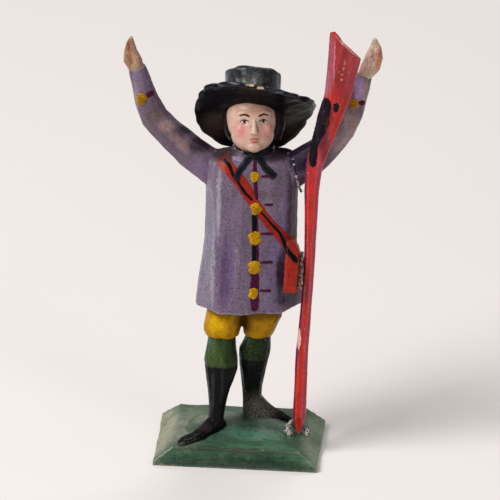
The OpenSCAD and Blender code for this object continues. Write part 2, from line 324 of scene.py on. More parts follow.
tone = node(g, "MapRange", {"Value": both, "From Min": 0.72, "From Max": 1.28, "To Min": low,
    "To Max": high}).outputs[0]
shade = node(g, "CombineColor", {0: tone, 1: tone, 2: tone}).outputs[0]
colour = blend_in(g, 1.0, ins["Colour"], shade, "MULTIPLY")
gritty = node(g, "TexNoise", {"Vector": ins["Place"], "Scale": 3.4, "Detail": 2.0,
    "Roughness": 0.7}).outputs[0]
less = reckon(g, "SUBTRACT", 1.0, ins["Speckle"])
more = reckon(g, "ADD", 1.0, ins["Speckle"])
grit = node(g, "MapRange", {"Value": gritty, "From Min": 0.36, "From Max": 0.64, "To Min": less,
    "To Max": more}).outputs[0]
colour = blend_in(g, 1.0, colour, node(g, "CombineColor", {0: grit, 1: grit, 2: grit}).outputs[0],
    "MULTIPLY")
hollow = reckon(g, "MULTIPLY", ins["Edge"], -1.0)
dirty = reckon(g, "MULTIPLY", grade(g, hollow, 0.012, 0.12), ins["Grime"])
cloud = reckon(g, "MULTIPLY", grade(g, mottle, 0.58, 0.8), ins["Grime"])
grime = reckon(g, "MAXIMUM", dirty, reckon(g, "MULTIPLY", cloud, 0.6))
colour = blend_in(g, grime, colour, ins["Dirt"])
ragged = reckon(g, "MULTIPLY", reckon(g, "SUBTRACT", fine, 0.5), 0.16)
proud = reckon(g, "ADD", ins["Edge"], ragged)
worn = reckon(g, "MULTIPLY", grade(g, proud, 0.055, 0.15), ins["Wear"])
colour = blend_in(g, worn, colour, ins["Bare"])
pits = node(g, "TexVoronoi", {"Vector": ins["Place"], "Scale": 1.35, "Randomness": 1.0})
deep = node(g, "SeparateColor", {0: pits.outputs["Color"]}).outputs[1]
gap = reckon(g, "SUBTRACT", reckon(g, "MULTIPLY", deep, 0.3), pits.outputs["Distance"])
pitted = reckon(g, "MULTIPLY", grade(g, gap, 0.0, 0.07), ins["Speckle"])
pitted = reckon(g, "MULTIPLY", pitted, 2.6, use_clamp=True)
colour = blend_in(g, pitted, colour, ins["Dirt"])
cells = node(g, "TexVoronoi", {"Vector": ins["Place"], "Scale": 0.95, "Randomness": 1.0})
few = node(g, "SeparateColor", {0: cells.outputs["Color"]}).outputs[0]
small = node(g, "MapRange", {"Value": few, "From Min": 0.45, "From Max": 1.0, "To Min": 0.0,
    "To Max": 0.17}).outputs[0]
gap = reckon(g, "SUBTRACT", small, cells.outputs["Distance"])
dots = reckon(g, "MULTIPLY", grade(g, gap, 0.0, 0.05), ins["Flecks"])
colour = blend_in(g, dots, colour, ins["Fleck"])
g.links.new(colour, outs["Colour"])
swing = reckon(g, "MULTIPLY", reckon(g, "SUBTRACT", streak, 0.5), 0.35)
rough = reckon(g, "ADD", ins["Rough"], swing)
dull = reckon(g, "MULTIPLY", reckon(g, "MAXIMUM", worn, grime), 0.25)
rough = reckon(g, "ADD", rough, dull, use_clamp=True)
g.links.new(rough, outs["Roughness"])
relief = reckon(g, "ADD", reckon(g, "MULTIPLY", streak, 0.6), reckon(g, "MULTIPLY", fine, 0.4))
relief = reckon(g, "SUBTRACT", relief, reckon(g, "MULTIPLY", worn, 0.3))
relief = reckon(g, "ADD", relief, reckon(g, "MULTIPLY", dots, 0.4))
g.links.new(relief, outs["Height"])


def rgba(colour):
    return (colour[0], colour[1], colour[2], 1.0)


def painted(
    name, colour, bare, dirt, fleck=(0.55, 0.5, 0.45), zones=(), grain=(2.2, 2.2, 0.5),
    wear=0.5, grime=0.4, streak=0.12, flecks=0.4, speckle=0.12, rough=0.45, gloss=0.0, bump=0.5, wobble=0.9,
    unsteady=0.9, shine=0.2, over=(),
):
    """Brushed old paint. A zone is a colour, its centre, its half sizes, softness and amount."""
    material, tree, shader, place = start_material(name)
    drift = node(tree, "TexNoise", {"Vector": place, "Scale": unsteady, "Detail": 2.0}).outputs["Color"]
    drift = node(tree, "VectorMath", {0: drift, 1: (0.5, 0.5, 0.5)}, operation="SUBTRACT").outputs[0]
    drift = node(tree, "VectorMath", {0: drift, "Scale": wobble * 2}, operation="SCALE").outputs[0]
    loose = node(tree, "VectorMath", {0: place, 1: drift}, operation="ADD").outputs[0]

    def lay(body, spots):
        for tint, centre, size, softness, amount in spots:
            spot = node(tree, "Group", node_tree=patch_group)
            tree.links.new(loose, spot.inputs["Place"])
            for title, value in (("Centre", centre), ("Size", size), ("Softness", softness),
                ("Amount", amount)):
                spot.inputs[title].default_value = value
            body = blend_in(tree, spot.outputs["Mask"], body, rgba(tint))
        return body

    body = lay(rgba(colour), zones)
    edge = node(tree, "Attribute", attribute_name="edge").outputs["Fac"]
    skin = node(tree, "Group", node_tree=paint_group)
    for title, value in (
        ("Place", place), ("Grain", grain), ("Colour", body), ("Bare", rgba(bare)), ("Dirt", rgba(dirt)),
        ("Fleck", rgba(fleck)), ("Edge", edge), ("Wear", wear), ("Grime", grime), ("Streak", streak),
        ("Flecks", flecks), ("Speckle", speckle), ("Rough", rough),
    ):
        if isinstance(value, bpy.types.NodeSocket):
            tree.links.new(value, skin.inputs[title])
        else:
            skin.inputs[title].default_value = value
    tree.links.new(lay(skin.outputs["Colour"], over), shader.inputs["Base Color"])
    tree.links.new(skin.outputs["Roughness"], shader.inputs["Roughness"])
    ripple = node(tree, "Bump", {"Strength": bump, "Distance": 0.00012, "Height": skin.outputs["Height"]})
    tree.links.new(ripple.outputs[0], shader.inputs["Normal"])
    shader.inputs["Specular IOR Level"].default_value = shine
    if gloss:
        tree.links.new(grade(tree, edge, 0.0, 0.05, 0.0, gloss), shader.inputs["Coat Weight"])
    shader.inputs["Coat Roughness"].default_value = 0.15
    return material



# Some zones paint light and shade: the two end slopes are painted paler green as lit faces, and the front
# face is painted darker as shade. The pale brown patch at the front left corner is bare wood.
green_paint = painted(
    "green_paint", (0.042, 0.1, 0.055), bare=(0.2, 0.24, 0.17), dirt=(0.03, 0.045, 0.028),
    zones=[
        ((0.1, 0.125, 0.085), (0, 10, 4), (16, 4, 2), 0.5, 0.5),
        ((0.24, 0.25, 0.18), (-15.6, 3, 2.9), (0.5, 6, 0.6), 0.6, 0.7),
        ((0.2, 0.22, 0.15), (-16.6, -4, 1.8), (0.4, 5, 0.5), 0.6, 0.6),
        ((0.055, 0.15, 0.09), (4, -10.5, 4.3), (9, 1.6, 0.8), 0.6, 0.7),
        ((0.25, 0.26, 0.19), (-11.4, -1, 4.2), (4.5, 9, 1.5), 0.6, 0.8),
        ((0.28, 0.275, 0.19), (-17, 1, 2.2), (4, 13, 3.4), 0.35, 0.85),
        ((0.2, 0.265, 0.165), (17, 0, 2.2), (3.9, 13, 3), 0.35, 0.85),
        ((0.022, 0.045, 0.027), (0, -14.4, 1.6), (20, 1.9, 2.6), 0.2, 0.9),
        ((0.012, 0.022, 0.015), (7, -14, 2.6), (4, 1.8, 1.0), 0.6, 0.6),
        ((0.045, 0.085, 0.055), (-6, -14, 1.8), (4, 1.8, 1.0), 0.6, 0.6),
    ],
    over=[
        ((0.02, 0.028, 0.016), (-1, -12.3, 4.15), (14, 0.55, 0.7), 0.5, 0.75),
        ((0.09, 0.07, 0.035), (1.5, -12.4, 4.0), (3.5, 0.4, 0.4), 0.5, 0.6),
        ((0.3, 0.23, 0.13), (-14.6, -13.2, 0.0), (2.6, 1.2, 0.3), 0.3, 0.85),
    ],
    grain=(0.45, 1.8, 1.8), wear=0.8, grime=0.65, streak=0.34, flecks=0.25, speckle=0.2, rough=0.32,
        bump=0.7,
    fleck=(0.3, 0.3, 0.22), shine=0.22, gloss=0.25,
)

bm = bmesh.new()
bmesh.ops.create_cube(bm, size=1)
bmesh.ops.scale(bm, vec=(BASE_W, BASE_D, BASE_EDGE), verts=bm.verts)
bmesh.ops.translate(bm, vec=(0, 0, BASE_EDGE / 2), verts=bm.verts)
bm.faces.ensure_lookup_table()
lid = [f for f in bm.faces if f.calc_center_median().z > BASE_EDGE * 0.9]
raised = bmesh.ops.extrude_face_region(bm, geom=lid)["geom"]
bmesh.ops.delete(bm, geom=lid, context="FACES_ONLY")
for vert in (g for g in raised if isinstance(g, bmesh.types.BMVert)):
    vert.co = (
        math.copysign(BASE_W / 2 - END_BEVEL, vert.co.x),
        math.copysign(BASE_D / 2 - LONG_BEVEL, vert.co.y),
        BASE_H,
    )
bmesh.ops.recalc_face_normals(bm, faces=bm.faces)
bm = sand(bm, 0.33, 1)
hew(bm, 7, 0.3, 3.1, scallop=0.25)
hew(bm, 1.4, 0.07, 8.2)
for vert in bm.verts:
    if vert.co.z < 0.3:
        vert.co.z = max(0.0, min(vert.co.z, vert.co.z * 0.3))
    vert.co.x = max(-17.5, min(17.5, vert.co.x))
    vert.co.y = max(-13.3, min(13.3, vert.co.y))
piece(bm, "green_base", "green_paint", green_paint, "base_block")

# ---- Ground mound ----
# A low dab of filler pressed round the feet once they stood in the block,
# stippled while soft and painted over in the same green.


def whittle(cuts, sides=12, square=0.9, bm=None):
    """A stick cut to a row of sections: centre, half width, half depth and lean."""
    bm = bm or bmesh.new()
    before = None
    ends = []
    for middle, half_w, half_d, *lean in cuts:
        ring = bmesh.ops.create_circle(
            bm, segments=sides, radius=1, matrix=Matrix.Rotation(math.pi / sides, 4, "Z")
        )["verts"]
        reach = math.cos(math.pi / sides) ** square
        turn = Matrix.Translation(middle) @ Matrix.Rotation(math.radians(lean[0] if lean else 0), 4, "Y")
        for vert in ring:
            x, y = (math.copysign(abs(v) ** square, v) / reach for v in vert.co.xy)
            vert.co = turn @ Vector((x * half_w, y * half_d, 0))
        edges = list({e for v in ring for e in v.link_edges})
        if before:
            bmesh.ops.bridge_loops(bm, edges=before + edges)
        else:
            ends.append(edges)
        before = edges
    ends.append(before)
    for rim in ends:
        bmesh.ops.edgeloop_fill(bm, edges=rim)
    bmesh.ops.recalc_face_normals(bm, faces=bm.faces)
    return bm


filler_paint = painted(
    "stippled_green", (0.034, 0.078, 0.046), bare=(0.17, 0.2, 0.15), dirt=(0.02, 0.032, 0.022),
    zones=[
        ((0.09, 0.12, 0.075), (-12, 0, 4.2), (4.5, 9, 1.6), 0.6, 0.85),
        ((0.042, 0.1, 0.055), (9, -5, 4.4), (6, 4, 1.2), 0.7, 0.8),
        ((0.055, 0.15, 0.1), (3.5, -6.4, 5), (5.5, 1.7, 1.5), 0.6, 0.75),
        ((0.022, 0.04, 0.024), (4.5, -3.2, 5.3), (5, 0.8, 1.5), 0.6, 0.7),
        ((0.16, 0.19, 0.15), (-2.5, 2.0, 5.6), (2.8, 3, 2), 0.6, 0.8),
        ((0.13, 0.16, 0.12), (6.0, 1.5, 5.4), (3.6, 2.2, 2), 0.6, 0.7),
        ((0.045, 0.075, 0.05), (-7, -3.5, 5), (2.5, 3.5, 1.5), 0.6, 0.8),
        ((0.24, 0.25, 0.2), (-8.0, 1.0, 5.0), (1.8, 2.0, 1.5), 0.7, 0.75),
    ],
    grain=(0.6, 1.2, 1.2), wear=0.6, grime=0.7, streak=0.3, flecks=0.6, speckle=0.28, rough=0.4, bump=0.8,
    fleck=(0.4, 0.4, 0.34), shine=0.25,
)
bm = whittle(
    [((0, -0.4, 3.3), 12.6, 8.8), ((0, -0.4, 3.95), 12.1, 8.5), ((0, -0.2, 4.4), 11.2, 7.9),
     ((0, 0, 4.86), 10, 7),
     ((0.2, 0.6, 5.62), 7, 4.8), ((0.4, 1, 6), 3.6, 2.4)],
    20, 0.85,
)
bm = sand(bm, 0.3, 4)
hew(bm, 4, 0.3, 5.5)
hew(bm, 1.2, 0.09, 2.5, scallop=0.06)
piece(bm, "ground_mound", "green_putty", filler_paint, "ground_putty")

# ---- Legs: stocking and boot ----
# Each shin is whittled in one piece with its foot. A green stocking is
# painted down to the glossy black boot, and a knee peg holds it above.


def foot(bm, heel, toe, sections):
    """A boot's foot, cut along the line from heel to toe, its sole on the block."""
    way = Vector((toe[0] - heel[0], toe[1] - heel[1], 0))
    first = len(bm.verts)
    whittle(
        [((along, 0, BASE_H + half_h - 0.15), half_h, half_w, 90) for along, half_h, half_w in sections],
        12, 0.8, bm,
    )
    bm.verts.ensure_lookup_table()
    bmesh.ops.transform(
        bm, verts=bm.verts[first:],
        matrix=Matrix.Translation((heel[0], heel[1], 0)) @ Matrix.Rotation(math.atan2(way.y, way.x), 4,
            "Z"),
    )


BOOT_TOP = {"right": 19.5, "left": 20.1}
# The left stocking is painted darker than the right as painted shade, since it stands behind and under the
# coat.
STOCKING_LIT_AND_SHADED = {"right": (0.03, 0.055, 0.018), "left": (0.016, 0.03, 0.01)}
BOOT = (0.005, 0.0048, 0.0056)
for side, leg_x, shin, heel, toe, sections, extra in (
    (
        "right", -4.6,
        [((-5.0, -3.0, 5.4), 1.6, 1.9), ((-4.9, -2.8, 7.4), 1.6, 1.85), ((-4.75, -2.5, 10), 1.75, 2.0),
         ((-4.5, -2, 14), 2.4, 2.5),
         ((-4.1, -1.2, 18.4), 3.4, 3.2), ((-4.25, -0.9, 20.4), 3.5, 3.3), ((-4.25, -0.5, 22.6), 3.15, 3.1),
         ((-4.2, -0.4, 24.6), 3, 2.9), ((-4.2, -0.3, 26.6), 2.9, 2.8)],
        (-4.4, -2.6), (-11.9, -11.1),
        [(-1.7, 0.7, 0.9), (-1.1, 1.4, 1.5), (0, 2.0, 1.85), (1.4, 2.0, 1.9), (2.8, 1.65, 1.8),
         (4.6, 1.15, 1.65),
         (6.4, 0.85, 1.5), (8.6, 0.7, 1.5), (10.2, 0.62, 1.35), (11.4, 0.5, 1.0), (12.0, 0.3, 0.55)],
        [((0.03, 0.028, 0.03), (-7.4, -5.8, 6.2), (1.6, 1.6, 1.0), 0.6, 0.5),
         ((0.03, 0.012, 0.009), (-7.2, -6.6, 6.4), (1.4, 0.8, 0.6), 0.5, 0.4),
         # These two faint bluish upright streaks on the boot are painted highlights.
         ((0.028, 0.028, 0.036), (-5.6, -4.4, 13.5), (0.35, 2, 4.5), 0.6, 0.8),
         ((0.02, 0.02, 0.026), (-3.6, -4.4, 15.5), (0.3, 2, 4.0), 0.6, 0.8)],
    ),
    (
        "left", 3.0,
        [((2.3, 3.8, 5.4), 1.95, 2.05), ((2.3, 3.5, 9.6), 1.95, 2), ((2.3, 3, 12.7), 2.1, 2.3),
         ((2.55, 2, 18.2), 2.95, 2.9), ((2.8, 1.5, 22), 3.35, 3.1), ((3.4, 0.9, 24.6), 2.7, 2.8),
         ((3.7, 0.8, 26.6), 2.6, 2.7)],
        (1.9, 3.9), (10, 4.1),
        [(-1.5, 1.2, 1.1), (-1.0, 2.2, 1.6), (0, 3.6, 1.95), (1.6, 3.5, 1.9), (2.6, 2.85, 1.8),
         (3.8, 2.25, 1.65),
         (5.6, 1.6, 1.45), (7.4, 1.1, 1.2), (8.6, 0.7, 1.0), (9.6, 0.4, 0.6)],
        [((0.17, 0.16, 0.125), (3.4, 2.2, 7.6), (3.2, 2.8, 3.2), 0.95, 0.7),
         ((0.22, 0.215, 0.18), (2.4, 1.6, 5.2), (3.6, 1.8, 1.0), 0.8, 0.7)],
    ),
):
    bm = whittle(shin, 12, 0.86)
    foot(bm, heel, toe, sections)
    bm = sand(bm, 0.24, 2)
    hew(bm, 3.0, 0.14, 4.4 + leg_x, stretch=(0.6, 0.6, 2.4), scallop=0.12)
    hew(bm, 0.8, 0.035, 1.4)
    for vert in bm.verts:
        vert.co.z = max(vert.co.z, 4.02)
    # Some zones paint light: the paler olive patches on the left of each shin are painted highlight, and
    # the darker green down its right is painted shade. The pale patches on the left boot are dust.
    leg_paint = painted(
        side + "_leg_paint", STOCKING_LIT_AND_SHADED[side], bare=(0.16, 0.15, 0.1), dirt=(0.006, 0.008, 0.005),
        zones=[((0.06, 0.085, 0.025), (leg_x - 1.4, -4.5, 22.5), (1.5, 2.6, 3.2), 0.5, 0.75),
               ((0.07, 0.09, 0.02), (leg_x + 0.6, -4.5, 20.6), (0.5, 2.6, 1.4), 0.7, 0.6),
               ((0.018, 0.03, 0.012), (leg_x + 2.6, -3, 22), (1.2, 3, 4), 0.5, 0.7),
               ((0.05, 0.11, 0.065), (leg_x - 1.8, -3.5, 25), (0.9, 2.6, 1.8), 0.5, 0.7),
               (BOOT, (leg_x, 0, BOOT_TOP[side] - 40), (60, 60, 40), 0.006, 1.0)] + extra,
        grain=(2.4, 2.4, 0.5), wear=0.4, grime=0.3, streak=0.3, flecks=0.1 if side == "right" else 0.9,
        speckle=0.3 if side == "right" else 0.75, rough=0.22 if side == "right" else 0.34, bump=0.45,
            wobble=0.45, fleck=(0.3, 0.3, 0.27), shine=0.09,
    )
    piece(bm, side + "_boot_and_stocking", "boot_black", leg_paint, side + "_leg")

# ---- Breeches ----
# Both thighs are one carved block under the coat, cut in below the knee so
# that the yellow cuff stands proud of the stocking.
# Most zones paint light and shade: the dark wedge between the thighs, the darker bands under the coat's hem
# and the dark outer side of the left thigh are painted shade, and the two pale spots on the thighs' fronts
# are painted highlights.
breeches_paint_lit_and_shaded = painted(
    "yellow_paint", (0.4, 0.2, 0.002), bare=(0.42, 0.24, 0.02), dirt=(0.06, 0.03, 0.003),
    zones=[
        ((0.06, 0.028, 0.002), (0.4, -1.5, 30), (1.7, 4, 4.0), 0.6, 0.9),
        ((0.2, 0.1, 0.003), (-3.5, -3.4, 32.2), (5, 2.5, 1.2), 0.5, 0.7),
        ((0.12, 0.055, 0.002), (4.2, -3, 32), (5, 2.5, 1.8), 0.5, 0.8),
        ((0.62, 0.36, 0.003), (-5.4, -3.8, 29), (1.8, 1.8, 1.8), 0.6, 0.9),
        ((0.42, 0.2, 0.003), (4.6, -3.2, 28), (1.6, 1.6, 1.6), 0.6, 0.8),
        ((0.08, 0.045, 0.004), (8.2, -0.5, 29), (1.2, 3, 4), 0.5, 0.7),
    ],
    grain=(1.2, 1.2, 0.7), wear=0.3, grime=0.5, streak=0.26, flecks=0.2, speckle=0.18, rough=0.3,
        shine=0.07,
    fleck=(0.12, 0.08, 0.01),
)
bm = whittle(
    [((-4.2, -0.3, 25.6), 3.35, 3.2), ((-4.2, -0.3, 26.0), 3.6, 3.4), ((-4.2, -0.2, 27), 3.9, 3.7),
     ((-3.7, 0.1, 29.4), 4, 4), ((-3.1, 0.3, 32.5), 4.2, 4.2), ((-3.1, 0.3, 33.3), 4.1, 4.1)], 12, 0.86,
)
whittle(
    [((3.5, 0.8, 25.6), 2.75, 3.0), ((3.55, 0.8, 26.1), 3.05, 3.2), ((3.75, 0.8, 27.2), 3.35, 3.5),
     ((4.4, 0.7, 30.2), 4.1, 3.9), ((4.5, 0.6, 32.5), 4.3, 4.2), ((4.5, 0.6, 33.3), 4.2, 4.1)], 12, 0.86,
      bm,
)
bm = sand(bm, 0.25, 2)
hew(bm, 2.6, 0.2, 6.1, stretch=(0.7, 0.7, 1.8), scallop=0.18)
hew(bm, 0.8, 0.04, 2.2)
piece(bm, "yellow_breeches", "breeches_yellow", breeches_paint_lit_and_shaded, "breeches")

# ---- Coat ----
# The body is one block from hem to collar, pared with a knife in long
# upright facets and brushed with thin purple paint. It sits on a dowel.
BODY = Matrix.Translation((1.5, 0.6, 32.5)) @ Matrix.Rotation(math.radians(11), 4, "Z")
# Some zones paint light and shade: the paler left facet, pale lines down its two knife ridges and a pale
# stroke beside the hollow are painted highlight; the darker purple in the carved hollow, the dark band down
# the right side, the dark L beside the pouch and the dark tops of the shoulders round the collar are
# painted shade.
coat_paint_and_shading = painted(
    "coat_purple", (0.15, 0.105, 0.16), bare=(0.34, 0.29, 0.31), dirt=(0.05, 0.032, 0.045),
    zones=[
        ((0.115, 0.07, 0.165), (-2.9, -7, 43), (1.7, 3, 8), 0.6, 0.9),
        ((0.2, 0.17, 0.23), (-9.6, -4, 47), (4.0, 6, 19), 0.1, 0.9),
        ((0.3, 0.27, 0.32), (-5.1, -6, 58), (0.5, 4, 8), 0.5, 0.95),
        ((0.27, 0.24, 0.3), (-6.1, -6, 42), (0.4, 4, 9), 0.6, 0.9),
        ((0.2, 0.15, 0.23), (-1.0, -7, 44.5), (0.5, 3, 5), 0.6, 0.7),
        ((0.13, 0.09, 0.19), (7.0, -6, 44), (2.2, 4, 10), 0.7, 0.6),
        ((0.24, 0.17, 0.22), (6.3, -6, 58.6), (1.3, 3, 1.9), 0.7, 0.8),
        ((0.125, 0.08, 0.22), (8.8, -5, 54), (2.0, 4, 6.5), 0.7, 0.75),
        ((0.19, 0.15, 0.2), (7.2, -5, 58), (2.6, 4, 5), 0.7, 0.6),
        ((0.05, 0.028, 0.05), (11.0, -2, 50), (1.7, 6, 18), 0.3, 0.9),
        ((0.035, 0.016, 0.035), (11.4, -3.5, 36.5), (2.0, 4, 4), 0.5, 0.9),
        ((0.02, 0.01, 0.03), (8.3, -4, 41), (0.95, 4, 5.4), 0.5, 1.0),
        ((0.025, 0.014, 0.032), (10.2, -4, 35.5), (2.8, 4, 1.2), 0.6, 0.95),
        ((0.035, 0.02, 0.025), (7, 0, 67.6), (6, 6, 1.3), 0.5, 0.9),
        ((0.045, 0.028, 0.03), (-4.5, 0, 67.4), (4.5, 5, 1.0), 0.5, 0.9),
        ((0.03, 0.018, 0.02), (1.8, 0, 68.6), (5.5, 6, 1.1), 0.4, 0.95),
        ((0.24, 0.21, 0.25), (0, -7, 32.6), (13, 6, 0.3), 0.6, 0.7),
        ((0.1, 0.065, 0.08), (5, -6, 59.5), (3.0, 3, 1.2), 0.7, 0.6),
        ((0.07, 0.035, 0.07), (10.2, -4, 62), (0.8, 4, 4), 0.6, 0.8),
    ],
    grain=(1.7, 1.7, 0.16), wear=0.6, grime=0.35, streak=0.18, flecks=0.7, speckle=0.36, rough=0.38,
        bump=0.7,
    fleck=(0.42, 0.36, 0.38), shine=0.25, wobble=0.5,
)
coat_cuts = [
    ((0, 0, 0), 11.3, 6.5), ((0, 0, 6), 10.8, 6.2), ((0, 0, 15), 9.7, 5.8), ((0, 0, 25.5), 9.7, 5.6),
    ((0, 0, 31), 9.8, 5.3), ((0, 0, 33.4), 9.7, 4.8), ((0, 0, 34.4), 8.5, 4.2), ((0, 0, 34.9), 5.4, 3.9),
    ((0, 0, 35.5), 4.3, 3.6), ((0, 0, 36.2), 4, 3.4),
]


bm = whittle(coat_cuts, 16, 0.72)
bmesh.ops.transform(bm, matrix=BODY, verts=bm.verts)
pare(bm, (-7.5, 0, 66), (-0.988, 0, 0.156))
pare(bm, (10.5, 0, 66), (0.988, 0, 0.156))
pare(bm, (-5.4, -6.1, 45), (-0.72, -0.69, -0.02))
pare(bm, (9.6, -2.8, 50), (0.86, -0.51, 0))
bm = sand(bm, 0.28, 1)
shave(bm, (-5.0, -5.35, 58), (-0.8, -0.6, -0.06), low=49, high=68, fade=3)
shave(bm, (-6.3, -5.9, 41), (-0.8, -0.6, 0.1), low=32, high=50, fade=2)
press(bm, (-2.9, -6.2, 42), (2.0, 3, 11), 0.75)
press(bm, (-5.0, -5.6, 57), (1.2, 3, 9), -0.25)
press(bm, (0.2, -6.4, 60), (3.0, 3, 6), 0.25)
press(bm, (6.2, -6.2, 47), (2.2, 3, 10), 0.35)
press(bm, (3.0, -6.8, 45), (1.4, 3, 13), -0.15)
hew(bm, 5.5, 0.25, 9.3, stretch=(0.7, 0.7, 2.6), scallop=0.3)
hew(bm, 0.9, 0.06, 3.3, stretch=(1, 1, 1.6))
bm.normal_update()
coat_skin = BVHTree.FromBMesh(bm)
piece(bm, "coat_body", "coat_purple", coat_paint_and_shading, "coat")

# ---- Sleeves ----
# Each raised arm is a bent stick, cut square at the top and glued to the
# shoulder's flat. The same purple, worn brown along its ridges.
# Besides the rubbed brown and beige wear, some zones paint light and shade: the near-black tops by each
# shoulder and the dark plum beside the gun are painted shade, and the pale lilac stripes on the cuffs are
# painted highlight.
sleeve_looks = {
    "right": [
        ((0.22, 0.14, 0.14), (-18.8, -1.4, 75.0), (1.2, 3, 1.5), 0.6, 0.7),
        ((0.3, 0.185, 0.165), (-17.0, -1.4, 73.2), (1.6, 3, 1.3), 0.5, 0.8),
        ((0.25, 0.15, 0.145), (-15.0, -1.6, 71.0), (1.5, 3, 1.2), 0.5, 0.8),
        ((0.27, 0.17, 0.15), (-13.0, -1.7, 68.8), (1.4, 3, 1.3), 0.5, 0.75),
        ((0.17, 0.1, 0.2), (-9.2, -1.8, 63), (2.6, 3, 3.0), 0.6, 0.8),
        ((0.022, 0.01, 0.018), (-9.4, 0, 68.9), (3.0, 4, 1.6), 0.5, 0.95),
        ((0.03, 0.016, 0.028), (-12.8, 0, 71.9), (2.4, 4, 1.1), 0.6, 0.9),
        ((0.24, 0.2, 0.27), (-23.4, -0.6, 81), (0.8, 2, 6), 0.6, 0.8),
        ((0.15, 0.1, 0.17), (-21.8, -1.2, 83), (1.6, 2, 3), 0.6, 0.8),
        ((0.1, 0.06, 0.06), (-19.4, -1.6, 75.2), (1.6, 2, 2.4), 0.6, 0.7),
    ],
    "left": [
        ((0.016, 0.009, 0.024), (12.0, -1.0, 67.4), (3.4, 5, 3.6), 0.35, 0.97),
        ((0.06, 0.035, 0.085), (12.0, -1.6, 61.8), (1.6, 3, 2.2), 0.5, 0.9),
        ((0.34, 0.25, 0.27), (20.6, -0.9, 73.6), (3.6, 3, 5.5), 0.5, 0.9),
        ((0.44, 0.32, 0.55), (23.6, -0.6, 83.2), (1.6, 2, 3.2), 0.5, 0.9),
        ((0.2, 0.12, 0.18), (20.0, -1, 75.5), (0.8, 2, 3.5), 0.6, 0.7),
        ((0.12, 0.05, 0.11), (22.3, -1, 82.6), (0.7, 1.6, 2.4), 0.6, 0.8),
        ((0.36, 0.26, 0.22), (25.4, 0, 82), (0.7, 2.4, 5), 0.6, 0.8),
        ((0.28, 0.17, 0.12), (23.0, -0.4, 74.8), (0.8, 2, 3.2), 0.7, 0.6),
    ],
}
sleeve_cuts = {
    "right": [((-6.6, 1, 63.2), 3.9, 2.9, -81), ((-7.5, 1, 63.4), 4, 3, -81),
        ((-11.6, 1, 66.6), 3.5, 2.8, -52),
              ((-15.6, 1, 70.1), 3.1, 2.6, -47), ((-19.6, 1, 74), 2.9, 2.4, -32),
               ((-21.6, 0.9, 79), 2.35, 2.2, -18),
              ((-23.4, 0.8, 84.8), 1.85, 1.8, -18), ((-23.6, 0.8, 85.4), 1.75, 1.7, -18)],
    "left": [((9.6, 1, 63.2), 3.9, 2.9, 81), ((10.5, 1, 63.4), 4, 3, 81), ((14.2, 1.2, 66.2), 3.5, 2.8, 55),
             ((17.6, 1.4, 69.4), 3, 2.6, 46), ((20.5, 1.5, 73), 2.8, 2.4, 32),
              ((22.9, 1.5, 78.6), 2.25, 2.2, 20),
             ((24.8, 1.5, 85.2), 1.65, 1.7, 13), ((24.95, 1.5, 85.8), 1.55, 1.6, 13)],
}
sleeve_skin = {}
for side in ("right", "left"):
    bm = whittle(sleeve_cuts[side], 10, 0.84)
    bm = sand(bm, 0.22, 1)
    hew(bm, 3.6, 0.2, 2.7 + len(side), stretch=(1, 0.8, 1.6), scallop=0.3)
    hew(bm, 0.8, 0.035, 5.3)
    sleeve_skin[side] = BVHTree.FromBMesh(bm)
    sleeve_paint = painted(
        side + "_sleeve_purple", (0.125, 0.085, 0.125), bare=(0.25, 0.17, 0.14), dirt=(0.045, 0.022, 0.03),
        zones=sleeve_looks[side], grain=(1.6, 1.6, 0.6), wear=0.85, grime=0.6, streak=0.2, flecks=0.4,
            speckle=0.2,
        rough=0.4, bump=0.5, fleck=(0.35, 0.28, 0.26), shine=0.3 if side == "right" else 0.12,
    )
    piece(bm, side + "_sleeve_arm", "coat_purple", sleeve_paint, side + "_sleeve")

# ---- Hands ----
# Mitten hands, cut to a blunt point and glued on at the wrist. Flesh paint
# has yellowed, and is rubbed reddish brown at the tips.
hand_cuts = {
    "right": [((-23.3, 0.8, 84.5), 1.5, 1.45, -18), ((-23.4, 0.8, 84.9), 1.6, 1.5, -18),
        ((-24.4, 0.7, 87), 2, 1.4, -12),
              ((-24.9, 0.6, 89.2), 1.35, 1.15, -4), ((-24.9, 0.6, 91), 0.8, 0.8, 4),
               ((-24.8, 0.6, 92.4), 0.3, 0.35, 0)],
    "left": [((24.7, 1.5, 84.9), 1.35, 1.35, 13), ((24.8, 1.5, 85.3), 1.45, 1.45, 13),
        ((26.1, 1.4, 87.6), 2, 1.4, 14),
             ((26.9, 1.3, 90), 1.85, 1.2, 6), ((27.1, 1.2, 92.2), 1.2, 0.9, 0),
              ((26.9, 1.2, 94.1), 0.4, 0.4, -4)],
}
hand_looks = {
    "right": [((0.3, 0.12, 0.05), (-24.9, -0.9, 87.8), (0.9, 1.2, 2.2), 0.6, 0.8),
              ((0.56, 0.36, 0.26), (-23.6, -0.8, 87.6), (0.6, 1.6, 2.8), 0.9, 0.6),
              ((0.14, 0.035, 0.02), (-25.3, -0.1, 90.6), (0.5, 0.9, 0.9), 0.6, 0.85)],
    "left": [((0.48, 0.17, 0.09), (27.9, 0, 89.4), (0.7, 1.6, 2.6), 0.6, 0.8),
             ((0.5, 0.34, 0.18), (26.9, 0.5, 93), (0.7, 1.6, 0.8), 0.6, 0.7),
             ((0.22, 0.11, 0.07), (26.6, 0.4, 90.6), (0.35, 1.2, 1.4), 0.7, 0.7),
             ((0.35, 0.09, 0.05), (28.2, 0.4, 91.2), (0.5, 0.8, 0.9), 0.6, 0.8)],
}
FLESH = {"right": (0.34, 0.18, 0.11), "left": (0.53, 0.37, 0.285)}
